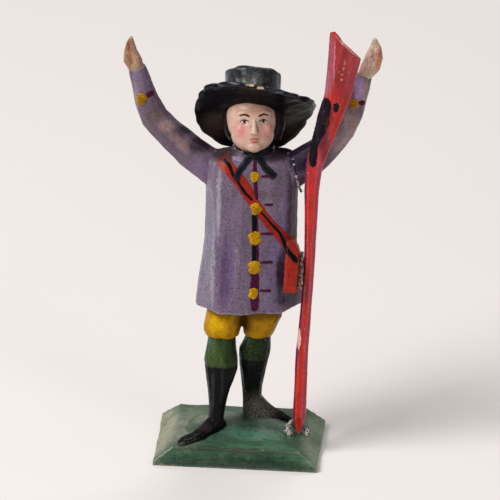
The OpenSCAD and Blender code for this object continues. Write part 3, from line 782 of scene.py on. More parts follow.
for side in ("right", "left"):
    bm = whittle(hand_cuts[side], 10, 0.86)
    bm = sand(bm, 0.16, 1)
    hew(bm, 1.8, 0.12, 7.7 + len(side), stretch=(1, 1, 1.8), scallop=0.14)
    flesh = painted(
        side + "_hand_flesh", FLESH[side], bare=(0.6, 0.44, 0.34), dirt=(0.1, 0.035, 0.018),
        zones=hand_looks[side], grain=(2, 2, 1), wear=0.7, grime=0.8, streak=0.26, flecks=0.5, speckle=0.26,
            rough=0.36,
        shine=0.3, fleck=(0.16, 0.06, 0.03),
    )
    piece(bm, side + "_hand_mitt", "flesh", flesh, side + "_hand")

# ---- Head ----
# Head, neck and long hair are carved from one peg of wood. The face has a
# plain nose, lips and chin, over which the paint is laid.
FACE = (
    Matrix.Translation((2.0, -3.5, 75.0))
    @ Matrix.Rotation(math.radians(10), 4, "Z")
    @ Matrix.Rotation(math.radians(-19), 4, "X")
)
UNDER_HAT, HAT_TIP = Vector((1.7, 2.5, 75.6)), Vector((0, 0.719, 0.695))


def lump(bm, centre, size, place=FACE):
    """A rounded lump of wood at a point on the face."""
    bmesh.ops.create_uvsphere(
        bm, u_segments=24, v_segments=16, radius=1,
        matrix=place @ Matrix.Translation(centre) @ Matrix.Diagonal((*size, 1)),
    )


# Beside the blushed cheeks, the paler stroke down the nose is a painted highlight and the browner flesh
# under the jaw is painted shade.
skin_paint = painted(
    "face_flesh", (0.6, 0.38, 0.3), bare=(0.72, 0.52, 0.42), dirt=(0.16, 0.07, 0.04),
    zones=[
        ((0.6, 0.2, 0.2), tuple(FACE @ Vector((-2.7, 0.4, -1.1))), (1.6, 2, 1.7), 0.6, 0.75),
        ((0.6, 0.21, 0.2), tuple(FACE @ Vector((2.7, 0.4, -1.1))), (1.5, 2, 1.6), 0.6, 0.7),
        ((0.5, 0.26, 0.18), tuple(FACE @ Vector((0, 0.6, 3.4))), (4.5, 2.5, 0.8), 0.6, 0.7),
        ((0.66, 0.45, 0.36), tuple(FACE @ Vector((0, -0.6, -0.6))), (0.6, 1.5, 1.6), 0.6, 0.7),
        ((0.42, 0.24, 0.16), tuple(FACE @ Vector((0, 2.4, -6.2))), (4.4, 3.5, 1.4), 0.6, 0.8),
    ],
    grain=(1, 1, 1), wear=0.35, grime=0.6, streak=0.1, flecks=0.1, speckle=0.08, rough=0.32, bump=0.4,
    fleck=(0.35, 0.2, 0.14), wobble=0.5, shine=0.35,
)
bm = whittle([((1.9, 0.6, 67.6), 3.1, 2.9), ((1.9, 0.4, 69), 3.0, 2.9), ((1.9, 0.2, 72), 3.0, 2.9)], 14,
    0.95)
lump(bm, (0, 5.0, 1.4), (5.35, 5.2, 6.2))
lump(bm, (0, 3.6, -2.0), (4.6, 3.8, 3.9))
lump(bm, (0, 1.35, -4.5), (1.75, 1.4, 1.35))
lump(bm, (2.5, 1.9, -1.2), (1.75, 1.5, 1.9))
lump(bm, (-2.5, 1.9, -1.2), (1.75, 1.5, 1.9))
lump(bm, (0, 1.2, 2.6), (3.7, 1.3, 1.1))
bm = sand(bm, 0.17, 5)
pare(bm, UNDER_HAT, HAT_TIP)
for x in (-2.0, 2.0):
    press(bm, FACE @ Vector((x, 0.2, 0.75)), (1.35, 1.6, 1.05), 0.55, FACE.to_3x3() @ Vector((0, 1, 0)))
press(bm, FACE @ Vector((0, 0, -2.45)), (0.4, 1.4, 0.6), 0.15, FACE.to_3x3() @ Vector((0, 1, 0)))
for at, size in (
    ((0, 0.55, 1.3), (0.5, 0.75, 1.3)), ((0, 0.1, 0.1), (0.52, 0.8, 1.3)),
     ((0, -0.25, -0.9), (0.62, 0.8, 0.9)),
    ((0, -0.45, -1.45), (0.72, 0.7, 0.55)), ((0.62, 0.1, -1.6), (0.42, 0.5, 0.36)),
     ((-0.62, 0.1, -1.6), (0.42, 0.5, 0.36)),
    ((0, 0.25, -2.95), (1.25, 0.55, 0.34)), ((0, 0.3, -3.5), (1.05, 0.55, 0.36)),
    ((2.0, 1.25, 0.62), (0.95, 0.72, 0.62)), ((-2.0, 1.25, 0.62), (0.95, 0.72, 0.62)),
):
    lump(bm, at, size)
bm = sand(bm, 0.14, 3)
hew(bm, 2.2, 0.06, 3.9, scallop=0.05)
bm.normal_update()
face_skin = BVHTree.FromBMesh(bm)
piece(bm, "head_and_neck", "flesh", skin_paint, "head")

hair_paint = painted(
    "hair_black", (0.008, 0.0055, 0.005), bare=(0.04, 0.028, 0.02), dirt=(0.004, 0.003, 0.003),
    grain=(2.4, 2.4, 0.4), wear=0.35, grime=0.4, streak=0.4, flecks=0.2, speckle=0.2, rough=0.34, bump=0.8,
        shine=0.12,
)
bm = whittle(
    [((1.7, 2.6, 68.4), 4.3, 2.0), ((1.6, 2.6, 70.0), 5.9, 2.6), ((1.6, 2.8, 72.8), 6.6, 3.1),
     ((1.6, 3.4, 76), 6.8, 3.3), ((1.7, 4.8, 80), 6.4, 3.2), ((1.8, 6.0, 82), 5.4, 2.8)], 18, 0.85,
)
pare(bm, UNDER_HAT, HAT_TIP)
bm = sand(bm, 0.2, 2)
hew(bm, 1.5, 0.3, 6.6, stretch=(1, 1, 3.2), scallop=0.34)
hew(bm, 0.5, 0.09, 1.9, stretch=(1, 1, 5))
piece(bm, "long_hair", "hat_black", hair_paint)

# ---- Hat ----
# The brim is a thin turned disc, bent while wet and tipped back, and chipped
# at its edge. The crown is a short plug, glued through the brim's hole.
HAT = Matrix.Translation((1.7, 2.5, 75.7)) @ Matrix.Rotation(math.radians(-46), 4, "X")
CROWN = Matrix.Translation((0.9, 2.5, 75.7)) @ Matrix.Rotation(math.radians(-36), 4, "X")
BRIM_R, BRIM_FLAT = 13.0, 6.4
CROWN_R, CROWN_H = 5.95, 8.6
brim_bends = [
    (-180, -3), (-150, -3.1), (-112, -2.3), (-90, -0.5), (-66, 2.4), (-30, 1.4), (0, 0.25),
    (35, -0.3), (84, 2), (105, 2.9), (122, 1.4), (140, -1.0), (160, -2.7), (180, -3),
]
hat_paint = painted(
    "hat_black_paint", (0.0045, 0.004, 0.006), bare=(0.06, 0.07, 0.1), dirt=(0.012, 0.007, 0.005),
    grain=(1.2, 1.2, 1.2), wear=0.35, grime=0.6, streak=0.15, flecks=0.15, speckle=0.12, rough=0.3,
        bump=0.12, shine=0.03,
    gloss=0.5,
    fleck=(0.12, 0.1, 0.09),
    zones=[
        ((0.075, 0.048, 0.04), (-6.9, 4.3, 71), (2.6, 4, 3.6), 0.8, 0.9),
        ((0.04, 0.026, 0.02), (8.2, 6, 71.5), (2.6, 4, 3.4), 0.8, 0.9),
        ((0.016, 0.01, 0.007), (10, 3, 74), (4, 6, 4), 0.6, 0.7),
    ],
    # Laid over the paint: two bare wood chips at the front of the rim, four bluish-grey strokes along the
    # rim that are painted highlights, and a reddish-brown stain at the right end.
    over=[
        ((0.45, 0.33, 0.18), (1.0, -6.3, 85.2), (1.05, 0.9, 0.42), 0.25, 0.95),
        ((0.5, 0.38, 0.22), (3.3, -6.5, 84.7), (0.7, 0.9, 0.34), 0.25, 0.9),
        ((0.085, 0.09, 0.13), (-6.2, -3.9, 84.0), (1.8, 1.4, 0.2), 0.6, 0.75),
        ((0.11, 0.12, 0.17), (-2.6, -5.6, 85.1), (1.3, 1.0, 0.18), 0.5, 0.8),
        ((0.1, 0.11, 0.16), (7.4, -5.9, 83.6), (1.6, 1.0, 0.2), 0.6, 0.8),
        ((0.06, 0.06, 0.09), (10.2, -4.7, 82.7), (1.2, 1.2, 0.18), 0.6, 0.7),
        ((0.05, 0.018, 0.03), (11.8, -2.6, 82.0), (1.6, 1.6, 0.5), 0.6, 0.7),
    ],
    wobble=0.3,
)
bm = bmesh.new()
section = [(1.5, -0.45), (4, -0.45), (6.4, -0.45), (8, -0.45), (9.5, -0.45), (11, -0.5), (12.1, -0.62),
    (12.8, -0.5),
           (13.05, 0), (12.8, 0.5), (12.1, 0.62), (11, 0.5), (9.5, 0.45), (8, 0.45), (6.4, 0.45), (4, 0.45),
            (1.5, 0.45)]
row = [bm.verts.new((0, -r, z)) for r, z in section]
outline = [bm.edges.new(pair) for pair in zip(row, row[1:])] + [bm.edges.new((row[-1], row[0]))]
bmesh.ops.spin(
    bm, geom=row + outline, cent=(0, 0, 0), axis=(0, 0, 1), angle=2 * math.pi, steps=160, use_merge=True,
)
bmesh.ops.remove_doubles(bm, verts=bm.verts, dist=0.001)
bmesh.ops.recalc_face_normals(bm, faces=bm.faces)


def bend_at(angle):
    """How far the brim's edge is bent up at an angle from its front, eased over a few degrees."""
    total = 0.0
    for near in range(-14, 15, 2):
        goal = (angle + near + 180) % 360 - 180
        for (a, low), (b, high) in zip(brim_bends, brim_bends[1:]):
            if a <= goal <= b:
                total += low + (high - low) * (goal - a) / (b - a)
                break
    return total / 15


brim_nicks = [(-40, 4, 0.4), (-62, 4, 0.35), (-75, 3, 0.3), (-4, 3.5, 0.45), (9, 2.5, 0.35), (52, 4, 0.4),
    (118, 5, 0.5), (-128, 6, 0.6)]
for vert in bm.verts:
    r = math.hypot(vert.co.x, vert.co.y)
    angle = math.degrees(math.atan2(vert.co.x, -vert.co.y))
    out = max(0.0, (r - BRIM_FLAT) / (BRIM_R - BRIM_FLAT))
    ragged = 0.35 * noise.noise(Vector((vert.co.x, vert.co.y, 0)) * 0.45 + Vector((3, 1, 0)))
    for at, wide, deep in brim_nicks:
        ragged -= deep * math.exp(-(((angle - at + 180) % 360 - 180) / wide) ** 2)
    shrink = 1 + (ragged - 0.15) * out * out / BRIM_R
    vert.co.z += bend_at(angle) * out ** 1.4 + 0.12 * noise.noise(vert.co * 0.5)
    vert.co.x *= shrink
    vert.co.y *= shrink
bmesh.ops.transform(bm, matrix=HAT, verts=bm.verts)
bm = sand(bm, 0.18, 2)
hew(bm, 4.5, 0.1, 4.9)
piece(bm, "hat_brim_disc", "hat_black", hat_paint, "hat_brim")

bm = whittle(
    [((0, 0, -2.4), CROWN_R, CROWN_R - 0.2), ((0, 0, 0.5 * CROWN_H), CROWN_R - 0.1, CROWN_R - 0.2),
     ((0, 0, CROWN_H - 0.5), CROWN_R, CROWN_R), ((0, 0, CROWN_H), CROWN_R - 0.5, CROWN_R - 0.5)], 16, 0.95,
)
bmesh.ops.transform(bm, matrix=CROWN, verts=bm.verts)
pare(bm, HAT @ Vector((0, 0, 0)), -(HAT.to_3x3() @ Vector((0, 0, 1))))
bm = sand(bm, 0.22, 1)
press(bm, CROWN @ Vector((0.4, 0, CROWN_H)), (4, 4, 2.5), 0.5)
hew(bm, 2.6, 0.2, 8.8, scallop=0.3)
hew(bm, 0.7, 0.05, 2.9)
# Most zones paint sheen and shade: the bluish-grey upright stripes on the facets at the left and right are
# painted highlights, with near-black painted shade between them. The grey on the top and front is scuffing.
crown_paint = painted(
    "crown_paint", (0.022, 0.022, 0.026), bare=(0.1, 0.11, 0.12), dirt=(0.006, 0.005, 0.006),
    zones=[((0.085, 0.085, 0.085), (0.2, 0.5, 83.6), (3.6, 3, 1.6), 0.6, 0.8),
           ((0.1, 0.11, 0.14), (-4.4, -2, 82), (1.1, 6, 5), 0.5, 0.75),
            ((0.005, 0.005, 0.009), (-1.6, -3, 84), (1.1, 6, 4), 0.5, 0.9),
           ((0.1, 0.1, 0.085), (1.3, -4, 82), (1.3, 6, 2.6), 0.6, 0.8),
            ((0.004, 0.004, 0.007), (3.6, -3, 83), (0.8, 6, 5), 0.5, 0.95),
           ((0.1, 0.115, 0.15), (6.0, -2, 82), (1.0, 6, 5), 0.4, 0.8)],
    grain=(2, 2, 0.7), wear=0.8, grime=0.5, streak=0.5, flecks=0.8, speckle=0.5, rough=0.24, bump=0.8,
        shine=0.25,
    fleck=(0.3, 0.3, 0.29),
)
piece(bm, "hat_crown_plug", "hat_black", crown_paint, "hat_crown")

# ---- Gun ----
# One long whittled stick, its butt broad and flat at the top and its muzzle
# cut to a point in the glue. Red gloss paint with a black lock and chips.
gun_cuts = [
    ((12.8, -2.1, 4.3), 0.35, 0.5), ((12.8, -2.1, 8.3), 1.35, 1.3), ((13.2, -2.3, 23.6), 1.35, 1.3, 2),
    ((13.9, -2.6, 35.2), 1.15, 1.3, 2), ((14.4, -2.8, 46.8), 1.15, 1.3, 1),
     ((14.5, -3, 60.7), 1.55, 1.3, 2),
    ((14.9, -3.1, 66.3), 1.75, 1.3, 9), ((16.2, -3.2, 71.2), 2.15, 1.3, 15),
     ((17.8, -3.3, 77), 2.5, 1.3, 15),
    ((19.5, -3.4, 82.4), 2.75, 1.3, 11), ((20.3, -3.5, 87.4), 3.15, 1.3, 11),
     ((20.7, -3.6, 91), 3.6, 1.3, 22),
    ((21.3, -3.6, 98.0), 4.7, 1.3, 36),
]
# Each side facet of the barrel is painted darker than its front, plum on the left and duller pink-red on
# the right: painted shade on the stick's turning sides.
stick_side_shading = []
for (x, y, z), half_w, half_d, *_ in gun_cuts[1:8]:
    stick_side_shading.append(((0.16, 0.008, 0.04), (x - half_w, y, z), (0.5, 3, 7.5), 0.4, 0.85))
    stick_side_shading.append(((0.42, 0.05, 0.08), (x + half_w * 0.8, y, z), (0.6, 3, 7.5), 0.4, 0.8))
# Besides the black under the lock, its zones paint light and shade: the butt's facets are painted in darker
# and mauver reds for the way they turn from the light, a thin pale line down its ridge is a painted
# highlight, and the darker reds and plums beside the lock and low on the barrel are painted shade. The pale
# spots laid over are chips.
gun_paint = painted(
    "gun_red_paint", (0.5, 0.02, 0.012), bare=(0.66, 0.2, 0.2), dirt=(0.1, 0.005, 0.01),
    zones=stick_side_shading + [
        ((0.24, 0.018, 0.022), (20.3, -4.6, 90), (2.0, 3, 9), 0.5, 0.9),
        ((0.36, 0.045, 0.055), (23.0, -4.4, 89), (1.6, 3, 8), 0.4, 0.85),
        ((0.29, 0.07, 0.1), (17.5, -4.4, 90.5), (1.15, 3, 8.5), 0.2, 0.9),
        ((0.36, 0.12, 0.16), (17.3, -4.4, 86), (0.5, 3, 2.5), 0.6, 0.7),
        ((0.5, 0.16, 0.19), (18.75, -4.7, 91), (0.16, 2, 5.5), 0.4, 0.8),
        ((0.1, 0.006, 0.02), (16.9, -4, 73.5), (1.1, 3, 5), 0.5, 0.85),
        ((0.004, 0.002, 0.003), (14.3, -3.4, 73.2), (0.6, 3, 1.6), 0.3, 1.0),
        ((0.004, 0.002, 0.003), (15.1, -3.4, 76), (0.9, 3, 2.2), 0.3, 1.0),
        ((0.004, 0.002, 0.003), (16.1, -3.4, 79.4), (0.9, 3, 2.4), 0.3, 1.0),
        ((0.2, 0.006, 0.02), (17.6, -4, 78.5), (1.3, 3, 3), 0.5, 0.8),
        ((0.16, 0.01, 0.05), (12.3, -3, 27), (0.8, 2.5, 5), 0.5, 0.8),
        ((0.12, 0.01, 0.03), (13.8, -4, 38), (0.6, 1.5, 2.4), 0.5, 0.6),
    ],
    over=[
        ((0.04, 0.01, 0.008), (24.2, -4, 93.6), (0.7, 2, 0.9), 0.4, 0.9),
        ((0.75, 0.42, 0.4), (12.5, -3.4, 26.5), (0.42, 1.4, 2.4), 0.15, 0.95),
        ((0.5, 0.24, 0.12), (20.8, -4.8, 89.4), (0.2, 1, 0.4), 0.6, 0.7),
        ((0.5, 0.24, 0.12), (21.0, -4.8, 90.8), (0.14, 1, 0.5), 0.6, 0.7),
        ((0.45, 0.2, 0.1), (20.5, -4.8, 88.0), (0.22, 1, 0.22), 0.6, 0.7),
        ((0.55, 0.3, 0.16), (20.5, -4.8, 86.8), (0.26, 1, 0.26), 0.6, 0.7),
        ((0.6, 0.4, 0.3), (19.7, -4.8, 88.6), (0.12, 1, 0.12), 0.6, 0.8),
    ],
    grain=(2.4, 2.4, 0.25), wear=0.8, grime=0.5, streak=0.24, flecks=0.5, speckle=0.16, rough=0.2, bump=0.5,
    fleck=(0.7, 0.42, 0.25), wobble=0.3, shine=0.2, gloss=0.5,
)
bm = whittle(gun_cuts, 8, 0.8)
butt_slant, butt_slant_facing = Vector((21.5, -4.75, 94.5)), Vector((0.606, 0.407, 0.685))
butt_tip, butt_tip_facing = Vector((17.8, -4.6, 97.35)), Vector((0.05, 0.4, 0.92))
pare(bm, butt_slant, butt_slant_facing)
pare(bm, butt_tip, butt_tip_facing)
bm = sand(bm, 0.18, 1)
shave(bm, (18.9, -4.75, 88), (-0.55, -0.82, 0.11), low=70, fade=6)
shave(bm, (22.6, -4.75, 88), (0.6, -0.78, -0.16), low=72, fade=6)
hew(bm, 2.6, 0.1, 1.1, stretch=(1, 1, 3), scallop=0.14)
hew(bm, 0.7, 0.03, 6.4)
gun_skin = BVHTree.FromBMesh(bm)
piece(bm, "long_gun", "gun_red", gun_paint, "gun")

# ---- Pouch ----
# A small chip of wood glued on the coat's front beside the gun, in the strap's
# red. Its top runs up as a wedge that carries the strap.
# Its right side is painted near-black red as painted shade.
pouch_paint = painted(
    "pouch_red_paint", (0.33, 0.024, 0.016), bare=(0.4, 0.14, 0.1), dirt=(0.05, 0.006, 0.008),
    zones=[((0.06, 0.006, 0.01), (12.5, -5, 42), (0.9, 3, 5), 0.4, 0.9)],
    grain=(1, 1, 1), wear=0.0, grime=0.5, streak=0.2, flecks=0.1, speckle=0.14, rough=0.3, shine=0.08,
        wobble=0.4,
)
bm = whittle(
    [((10.6, -4.7, 38.3), 1.4, 2.1), ((10.65, -4.7, 41), 1.5, 2.2), ((10.85, -4.4, 43.6), 1.55, 2.0),
     ((10.9, -3.8, 45.6), 1.6, 1.9), ((10.6, -2.8, 47.3), 1.35, 1.4), ((10.1, -2.1, 48.8), 0.8, 0.8)], 4,
      0.9,
)
bm = sand(bm, 0.2, 4)
hew(bm, 1.6, 0.1, 5.1, scallop=0.06)
pouch_skin = BVHTree.FromBMesh(bm)
piece(bm, "red_pouch", "pouch_red", pouch_paint, "pouch")

# ---- Dried glue ----
# Beads of old glue at the left shoulder, beside the pouch and in a lump
# round the muzzle. They have dried cloudy and pitted.


def dried_glue(name, colour, dirt):
    material, tree, shader, place = start_material(name)
    grains = node(tree, "TexVoronoi", {"Vector": place, "Scale": 2.4}).outputs["Distance"]
    haze = node(tree, "TexNoise", {"Vector": place, "Scale": 1.3, "Detail": 4.0}).outputs[0]
    tone = blend_in(tree, grade(tree, haze, 0.35, 0.65), rgba(dirt), rgba(colour))
    # The pale grains stand both for the whitish crust of dried glue and for painted glints.
    tone = blend_in(tree, grade(tree, grains, 0.54, 0.76), tone, (0.5, 0.47, 0.42, 1))
    tree.links.new(tone, shader.inputs["Base Color"])
    shader.inputs["Roughness"].default_value = 0.3
    shader.inputs["Subsurface Weight"].default_value = 0.1
    shader.inputs["Subsurface Radius"].default_value = (0.001, 0.0008, 0.0006)
    ripple = node(tree, "Bump", {"Strength": 0.8, "Distance": 0.00015, "Height": grains})
    tree.links.new(ripple.outputs[0], shader.inputs["Normal"])
    return material


clear_glue = dried_glue("cloudy_glue", (0.24, 0.25, 0.22), (0.02, 0.022, 0.02))
red_glue = dried_glue("reddened_glue", (0.3, 0.17, 0.09), (0.07, 0.03, 0.012))


def beads(name, path, material, node_name, grain=0.14):
    """A run of glue: overlapping drops along a line, each with its own radius."""
    bm = bmesh.new()
    for (ax, ay, az, ar), (bx, by, bz, br) in zip(path, path[1:]):
        steps = max(2, int((Vector((bx, by, bz)) - Vector((ax, ay, az))).length / 0.35))
        for k in range(steps + 1):
            t = k / steps
            at = Vector((ax, ay, az)).lerp(Vector((bx, by, bz)), t)
            r = (ar + (br - ar) * t) * (0.85 + 0.4 * noise.noise(at * 1.7))
            bmesh.ops.create_icosphere(bm, subdivisions=2, radius=r, matrix=Matrix.Translation(at))
    bm = sand(bm, grain, 1)
    hew(bm, 0.9, 0.2, 3.7, scallop=0.12)
    piece(bm, name, "dried_glue", material, node_name)


beads("shoulder_glue_bead", [(12.1, -0.6, 59.3, 0.42), (11.6, -0.95, 60.5, 0.44),
    (11.22, -1.75, 62.3, 0.36),
                              (10.87, -1.85, 64.0, 0.3), (10.5, -1.55, 65.7, 0.34),
                               (10.2, -1.0, 66.7, 0.3)], clear_glue, "shoulder_glue", 0.11)
beads("pouch_glue_bead", [(12.4, -2.8, 38.1, 0.5), (12.5, -3.3, 40, 0.75), (12.7, -3.3, 43, 0.7),
    (12.8, -2.9, 46.2, 0.4)], red_glue, "pouch_glue")
beads(
    "muzzle_glue_lump",
    [(11.2, -3.7, 4.4, 0.8), (10.5, -2.8, 4.8, 1.0), (10.7, -2.3, 6.2, 0.9), (11.4, -1.5, 6.8, 0.6),
     (12.7, -0.8, 5.0, 0.9), (14.2, -1.2, 5.3, 0.75), (14.8, -2.0, 5.2, 0.8), (14.7, -3.2, 4.5, 0.7)],
    clear_glue, "muzzle_glue", 0.2,
)

# ---- Painted dress: strap, buttons, front line and neckerchief ----
# All of it is brushed on, thick enough to stand proud of the coat: a red
# strap with a black line, a front seam, yellow buttons and plum holes.


def walk(line, t):
    """The point and the direction at a share t of a line's length."""
    points = [Vector(p) for p in line]
    lengths = [(b - a).length for a, b in zip(points, points[1:])]
    goal = t * sum(lengths)
    for k, length in enumerate(lengths):
        if goal <= length or k == len(lengths) - 1:
            share = min(goal / max(length, 1e-6), 1.0)
            before = points[k - 1] if k else points[k] * 2 - points[k + 1]
            after = points[k + 2] if k + 2 < len(points) else points[k + 1] * 2 - points[k]
            a, b = points[k], points[k + 1]
            at = 0.5 * (
                2 * a + (b - before) * share + (2 * before - 5 * a + 4 * b - after) * share ** 2
                + (3 * a - before - 3 * b + after) * share ** 3
            )
            return at, (b - a).normalized(), k + share
        goal -= length
    return points[-1], (points[-1] - points[-2]).normalized(), float(len(lengths))


def daub(name, skin, line, widths, material, slot, proud=0.14, lift=0.0, view=None, blunt=None, uneven=0.12,
    step=0.3):
    """One brush stroke laid on a skin, as a thin closed pad of paint with rounded ends."""
    view = view or Matrix.Identity(4)
    skins = skin if isinstance(skin, list) else [skin]
    ray = (view.to_3x3() @ Vector((0, 1, 0))).normalized()
    widths = widths if isinstance(widths, (list, tuple)) else [widths] * len(line)
    span = sum((Vector(b) - Vector(a)).length for a, b in zip(line, line[1:]))
    along = max(8, int(span / step))
    across = max(5, min(12, int(max(widths) / 0.25)))
    bm = bmesh.new()
    bmesh.ops.create_grid(bm, x_segments=along, y_segments=across, size=0.5)
    seed = Vector((len(name) * 1.3, sum(map(ord, name)) * 0.37 % 50, 0))
    lost = []
    inward = bm.verts.layers.float_vector.new("inward")
    for vert in bm.verts:
        t, s = vert.co.x + 0.5, vert.co.y * 2
        at, way, knot = walk(line, min(max(t, 0.0), 1.0))
        k = min(int(knot), len(widths) - 2)
        wide = widths[k] + (widths[k + 1] - widths[k]) * (knot - k)
        rim = min(t, 1 - t) * span
        cap = blunt if blunt is not None else wide / 2
        close = min(rim / max(cap, 1e-3), 1.0)
        shape = math.sqrt(max(1 - (1 - close) ** 2, 0.0))
        wave = 1 + uneven * 2 * noise.noise(Vector((t * span * 0.9, s * 0.8, 0)) + seed)
        side = Vector((-way.y, way.x))
        flat = at + side * (s * wide * 0.5 * max(shape, 0.03) * wave)
        start = view @ Vector((flat.x, -60, flat.y))
        hits = [hit for hit in (part.ray_cast(start, ray) for part in skins) if hit[0]]
        spot, normal, _, _ = min(hits, key=lambda hit: hit[3]) if hits else (None,) * 4
        if spot is None:
            lost.append(vert)
            continue
        if normal.dot(ray) > 0:
            normal = -normal
        dome = math.sqrt(max(1 - s * s, 0.0)) * (0.3 + 0.7 * shape)
        vert.co = spot + normal * (lift + 0.01 + proud * dome)
        vert[inward] = -normal
    if lost:
        bmesh.ops.delete(bm, geom=lost, context="VERTS")
    below = bmesh.ops.extrude_face_region(bm, geom=bm.faces[:])["geom"]
    for vert in below:
        if isinstance(vert, bmesh.types.BMVert):
            vert.co += vert[inward] * (proud + lift + 0.25)
    bm.verts.layers.float_vector.remove(inward)
    bmesh.ops.recalc_face_normals(bm, faces=bm.faces)
    return piece(bm, name, slot, material)


# The strap's red darkens at its upper end on the shoulder and where it turns down onto the pouch, as
# painted shade, with a lighter painted highlight just below the shoulder.
strap_red = painted(
    "strap_red_paint", (0.3, 0.02, 0.012), bare=(0.36, 0.1, 0.07), dirt=(0.07, 0.01, 0.01),
    over=[((0.12, 0.03, 0.03), (-5.0, -4, 67.6), (2.4, 4, 1.1), 0.9, 0.85),
        ((0.42, 0.12, 0.09), (-4.6, -5, 64.9), (0.9, 4, 1.3), 0.8, 0.6)],
    zones=[((0.06, 0.03, 0.025), (-4.2, -3, 67.4), (2.4, 4, 1.3), 0.6, 0.85),
           ((0.2, 0.02, 0.016), (9.8, -3, 47.6), (1.6, 4, 3), 0.6, 0.8)],
    grain=(1.2, 1.2, 1.2), wear=0.1, grime=0.5, streak=0.25, flecks=0.1, speckle=0.16, rough=0.3,
        shine=0.08,
)
line_black = painted(
    "black_line_paint", (0.005, 0.003, 0.0045), bare=(0.03, 0.018, 0.02), dirt=(0.003, 0.002, 0.003),
    grain=(1.5, 1.5, 1.5), wear=0.2, grime=0.3, streak=0.3, flecks=0.0, rough=0.2, shine=0.05,
)
button_yellow = painted(
    "button_yellow_paint", (0.46, 0.23, 0.002), bare=(0.55, 0.32, 0.01), dirt=(0.1, 0.035, 0.002),
    zones=[((0.24, 0.11, 0.001), (-22.2, -1, 79), (3, 4, 3), 0.4, 0.9),
        ((0.3, 0.15, 0.001), (23, -1, 80), (3, 4, 3), 0.4, 0.8),
           ((0.26, 0.13, 0.001), (3.3, -7, 55.6), (1.0, 3, 1.2), 0.6, 0.8),
            ((0.28, 0.12, 0.001), (2.2, -7, 42.4), (0.8, 3, 1.0), 0.6, 0.8)],
    grain=(1.5, 1.5, 0.9), wear=0.2, grime=0.8, streak=0.36, flecks=0.2, speckle=0.3, rough=0.28,
        shine=0.07,
    fleck=(0.12, 0.04, 0.004),
)
plum_paint = painted(
    "plum_paint", (0.062, 0.006, 0.03), bare=(0.12, 0.04, 0.08), dirt=(0.02, 0.003, 0.01),
    grain=(1.5, 1.5, 1.5), wear=0.1, grime=0.4, streak=0.3, flecks=0.05, speckle=0.2, rough=0.4, shine=0.06,
)
lilac_paint = painted(
    "pale_lilac_paint", (0.2, 0.16, 0.25), bare=(0.34, 0.3, 0.38), dirt=(0.08, 0.05, 0.08),
    grain=(1.5, 1.5, 0.6), wear=0.4, grime=0.4, streak=0.2, flecks=0.2, rough=0.4,
)
scarf_black = painted(
    "neckerchief_black_paint", (0.007, 0.007, 0.012), bare=(0.045, 0.045, 0.06), dirt=(0.004, 0.004, 0.006),
    grain=(1.5, 1.5, 1.5), wear=0.3, grime=0.3, streak=0.3, flecks=0.05, rough=0.24, shine=0.08,
)

dress_skin = [coat_skin, pouch_skin]
daub("shoulder_strap", dress_skin,
     [(-5.3, 67.5), (-3.7, 66.0), (-1.95, 64.3), (0.3, 61.4), (2.4, 57.9), (5.35, 53.6), (8.7, 49.4),
      (10.3, 47.2), (10.9, 44.2), (10.9, 40)],
     [2.6, 2.9, 2.9, 2.8, 2.3, 2.2, 2.5, 3.0, 2.9, 2.6], strap_red, "gun_red", proud=0.08, blunt=0.3,
      uneven=0.05)
daub("strap_line_upper", dress_skin,
     [(-4.4, 67.0), (-3.1, 66.1), (-2.1, 64.0), (-0.8, 62.2), (0.25, 60.5), (2.1, 58.4)],
     [0.5, 0.8, 0.6, 0.6, 0.75, 0.5], line_black, "hat_black", proud=0.07, lift=0.08)
daub("strap_line_lower", dress_skin,
     [(3.5, 56.3), (6.1, 53), (8.0, 50.5), (9.3, 47.6), (10.7, 46.2), (12.0, 45.1)],
     [0.35, 0.5, 0.6, 0.95, 1.1, 1.0], line_black, "hat_black", proud=0.07, lift=0.08)
daub("shoulder_seam_line", [coat_skin, sleeve_skin["left"]],
     [(9.9, 67.2), (10.3, 66.5), (10.6, 65.6), (10.95, 64), (11.3, 62.3), (11.6, 60.6)],
     [0.2, 0.35, 0.25, 0.35, 0.25, 0.2], line_black, "coat_purple", proud=0.04, uneven=0.5)
daub("front_seam_plum", coat_skin,
     [(2.3, 67.3), (2.55, 63.7), (2.75, 60.0), (2.8, 53.3), (2.95, 46.7), (2.9, 39.9), (3.0, 35.3),
      (3.0, 33.2)],
     [0.8, 0.8, 0.9, 1.1, 1.4, 1.9, 1.8, 1.5], plum_paint, "coat_purple", proud=0.06)
daub("front_seam_dark", coat_skin, [(2.5, 56.3), (2.55, 53.3), (2.65, 46.7), (2.75, 43.4), (2.75, 41.2)],
     [0.8, 1.0, 0.95, 0.9, 0.6], line_black, "hat_black", proud=0.05, lift=0.05)
for number, (x, z, wide, tall) in enumerate(
    ((2.4, 63.7, 2.0, 2.3), (2.7, 56.5, 2.4, 2.9), (2.7, 49.8, 2.4, 3.2), (2.85, 43.2, 2.3, 3.1),
     (2.75, 37.3, 1.9, 2.6)), 1
):
    daub(f"button_{number}", coat_skin, [(x, z - tall / 2), (x, z + tall / 2)], wide, button_yellow,
         "breeches_yellow", proud=0.22, lift=0.07, blunt=tall * 0.45, uneven=0.3, step=0.2)
for number, (ax, az, bx, bz) in enumerate(
    ((3.6, 63.7, 5.7, 63.8), (4.4, 57.4, 6.5, 57.3), (3.7, 50.75, 6.7, 50.6),
     (3.8, 44.3, 6.7, 44.2), (3.8, 37.9, 6.5, 37.8)), 1
):
    daub(f"buttonhole_{number}", coat_skin, [(ax, az), ((ax + bx) / 2, (az + bz) / 2 + 0.05), (bx, bz)],
         [0.45, 0.65, 0.7], plum_paint, "coat_purple", proud=0.12)
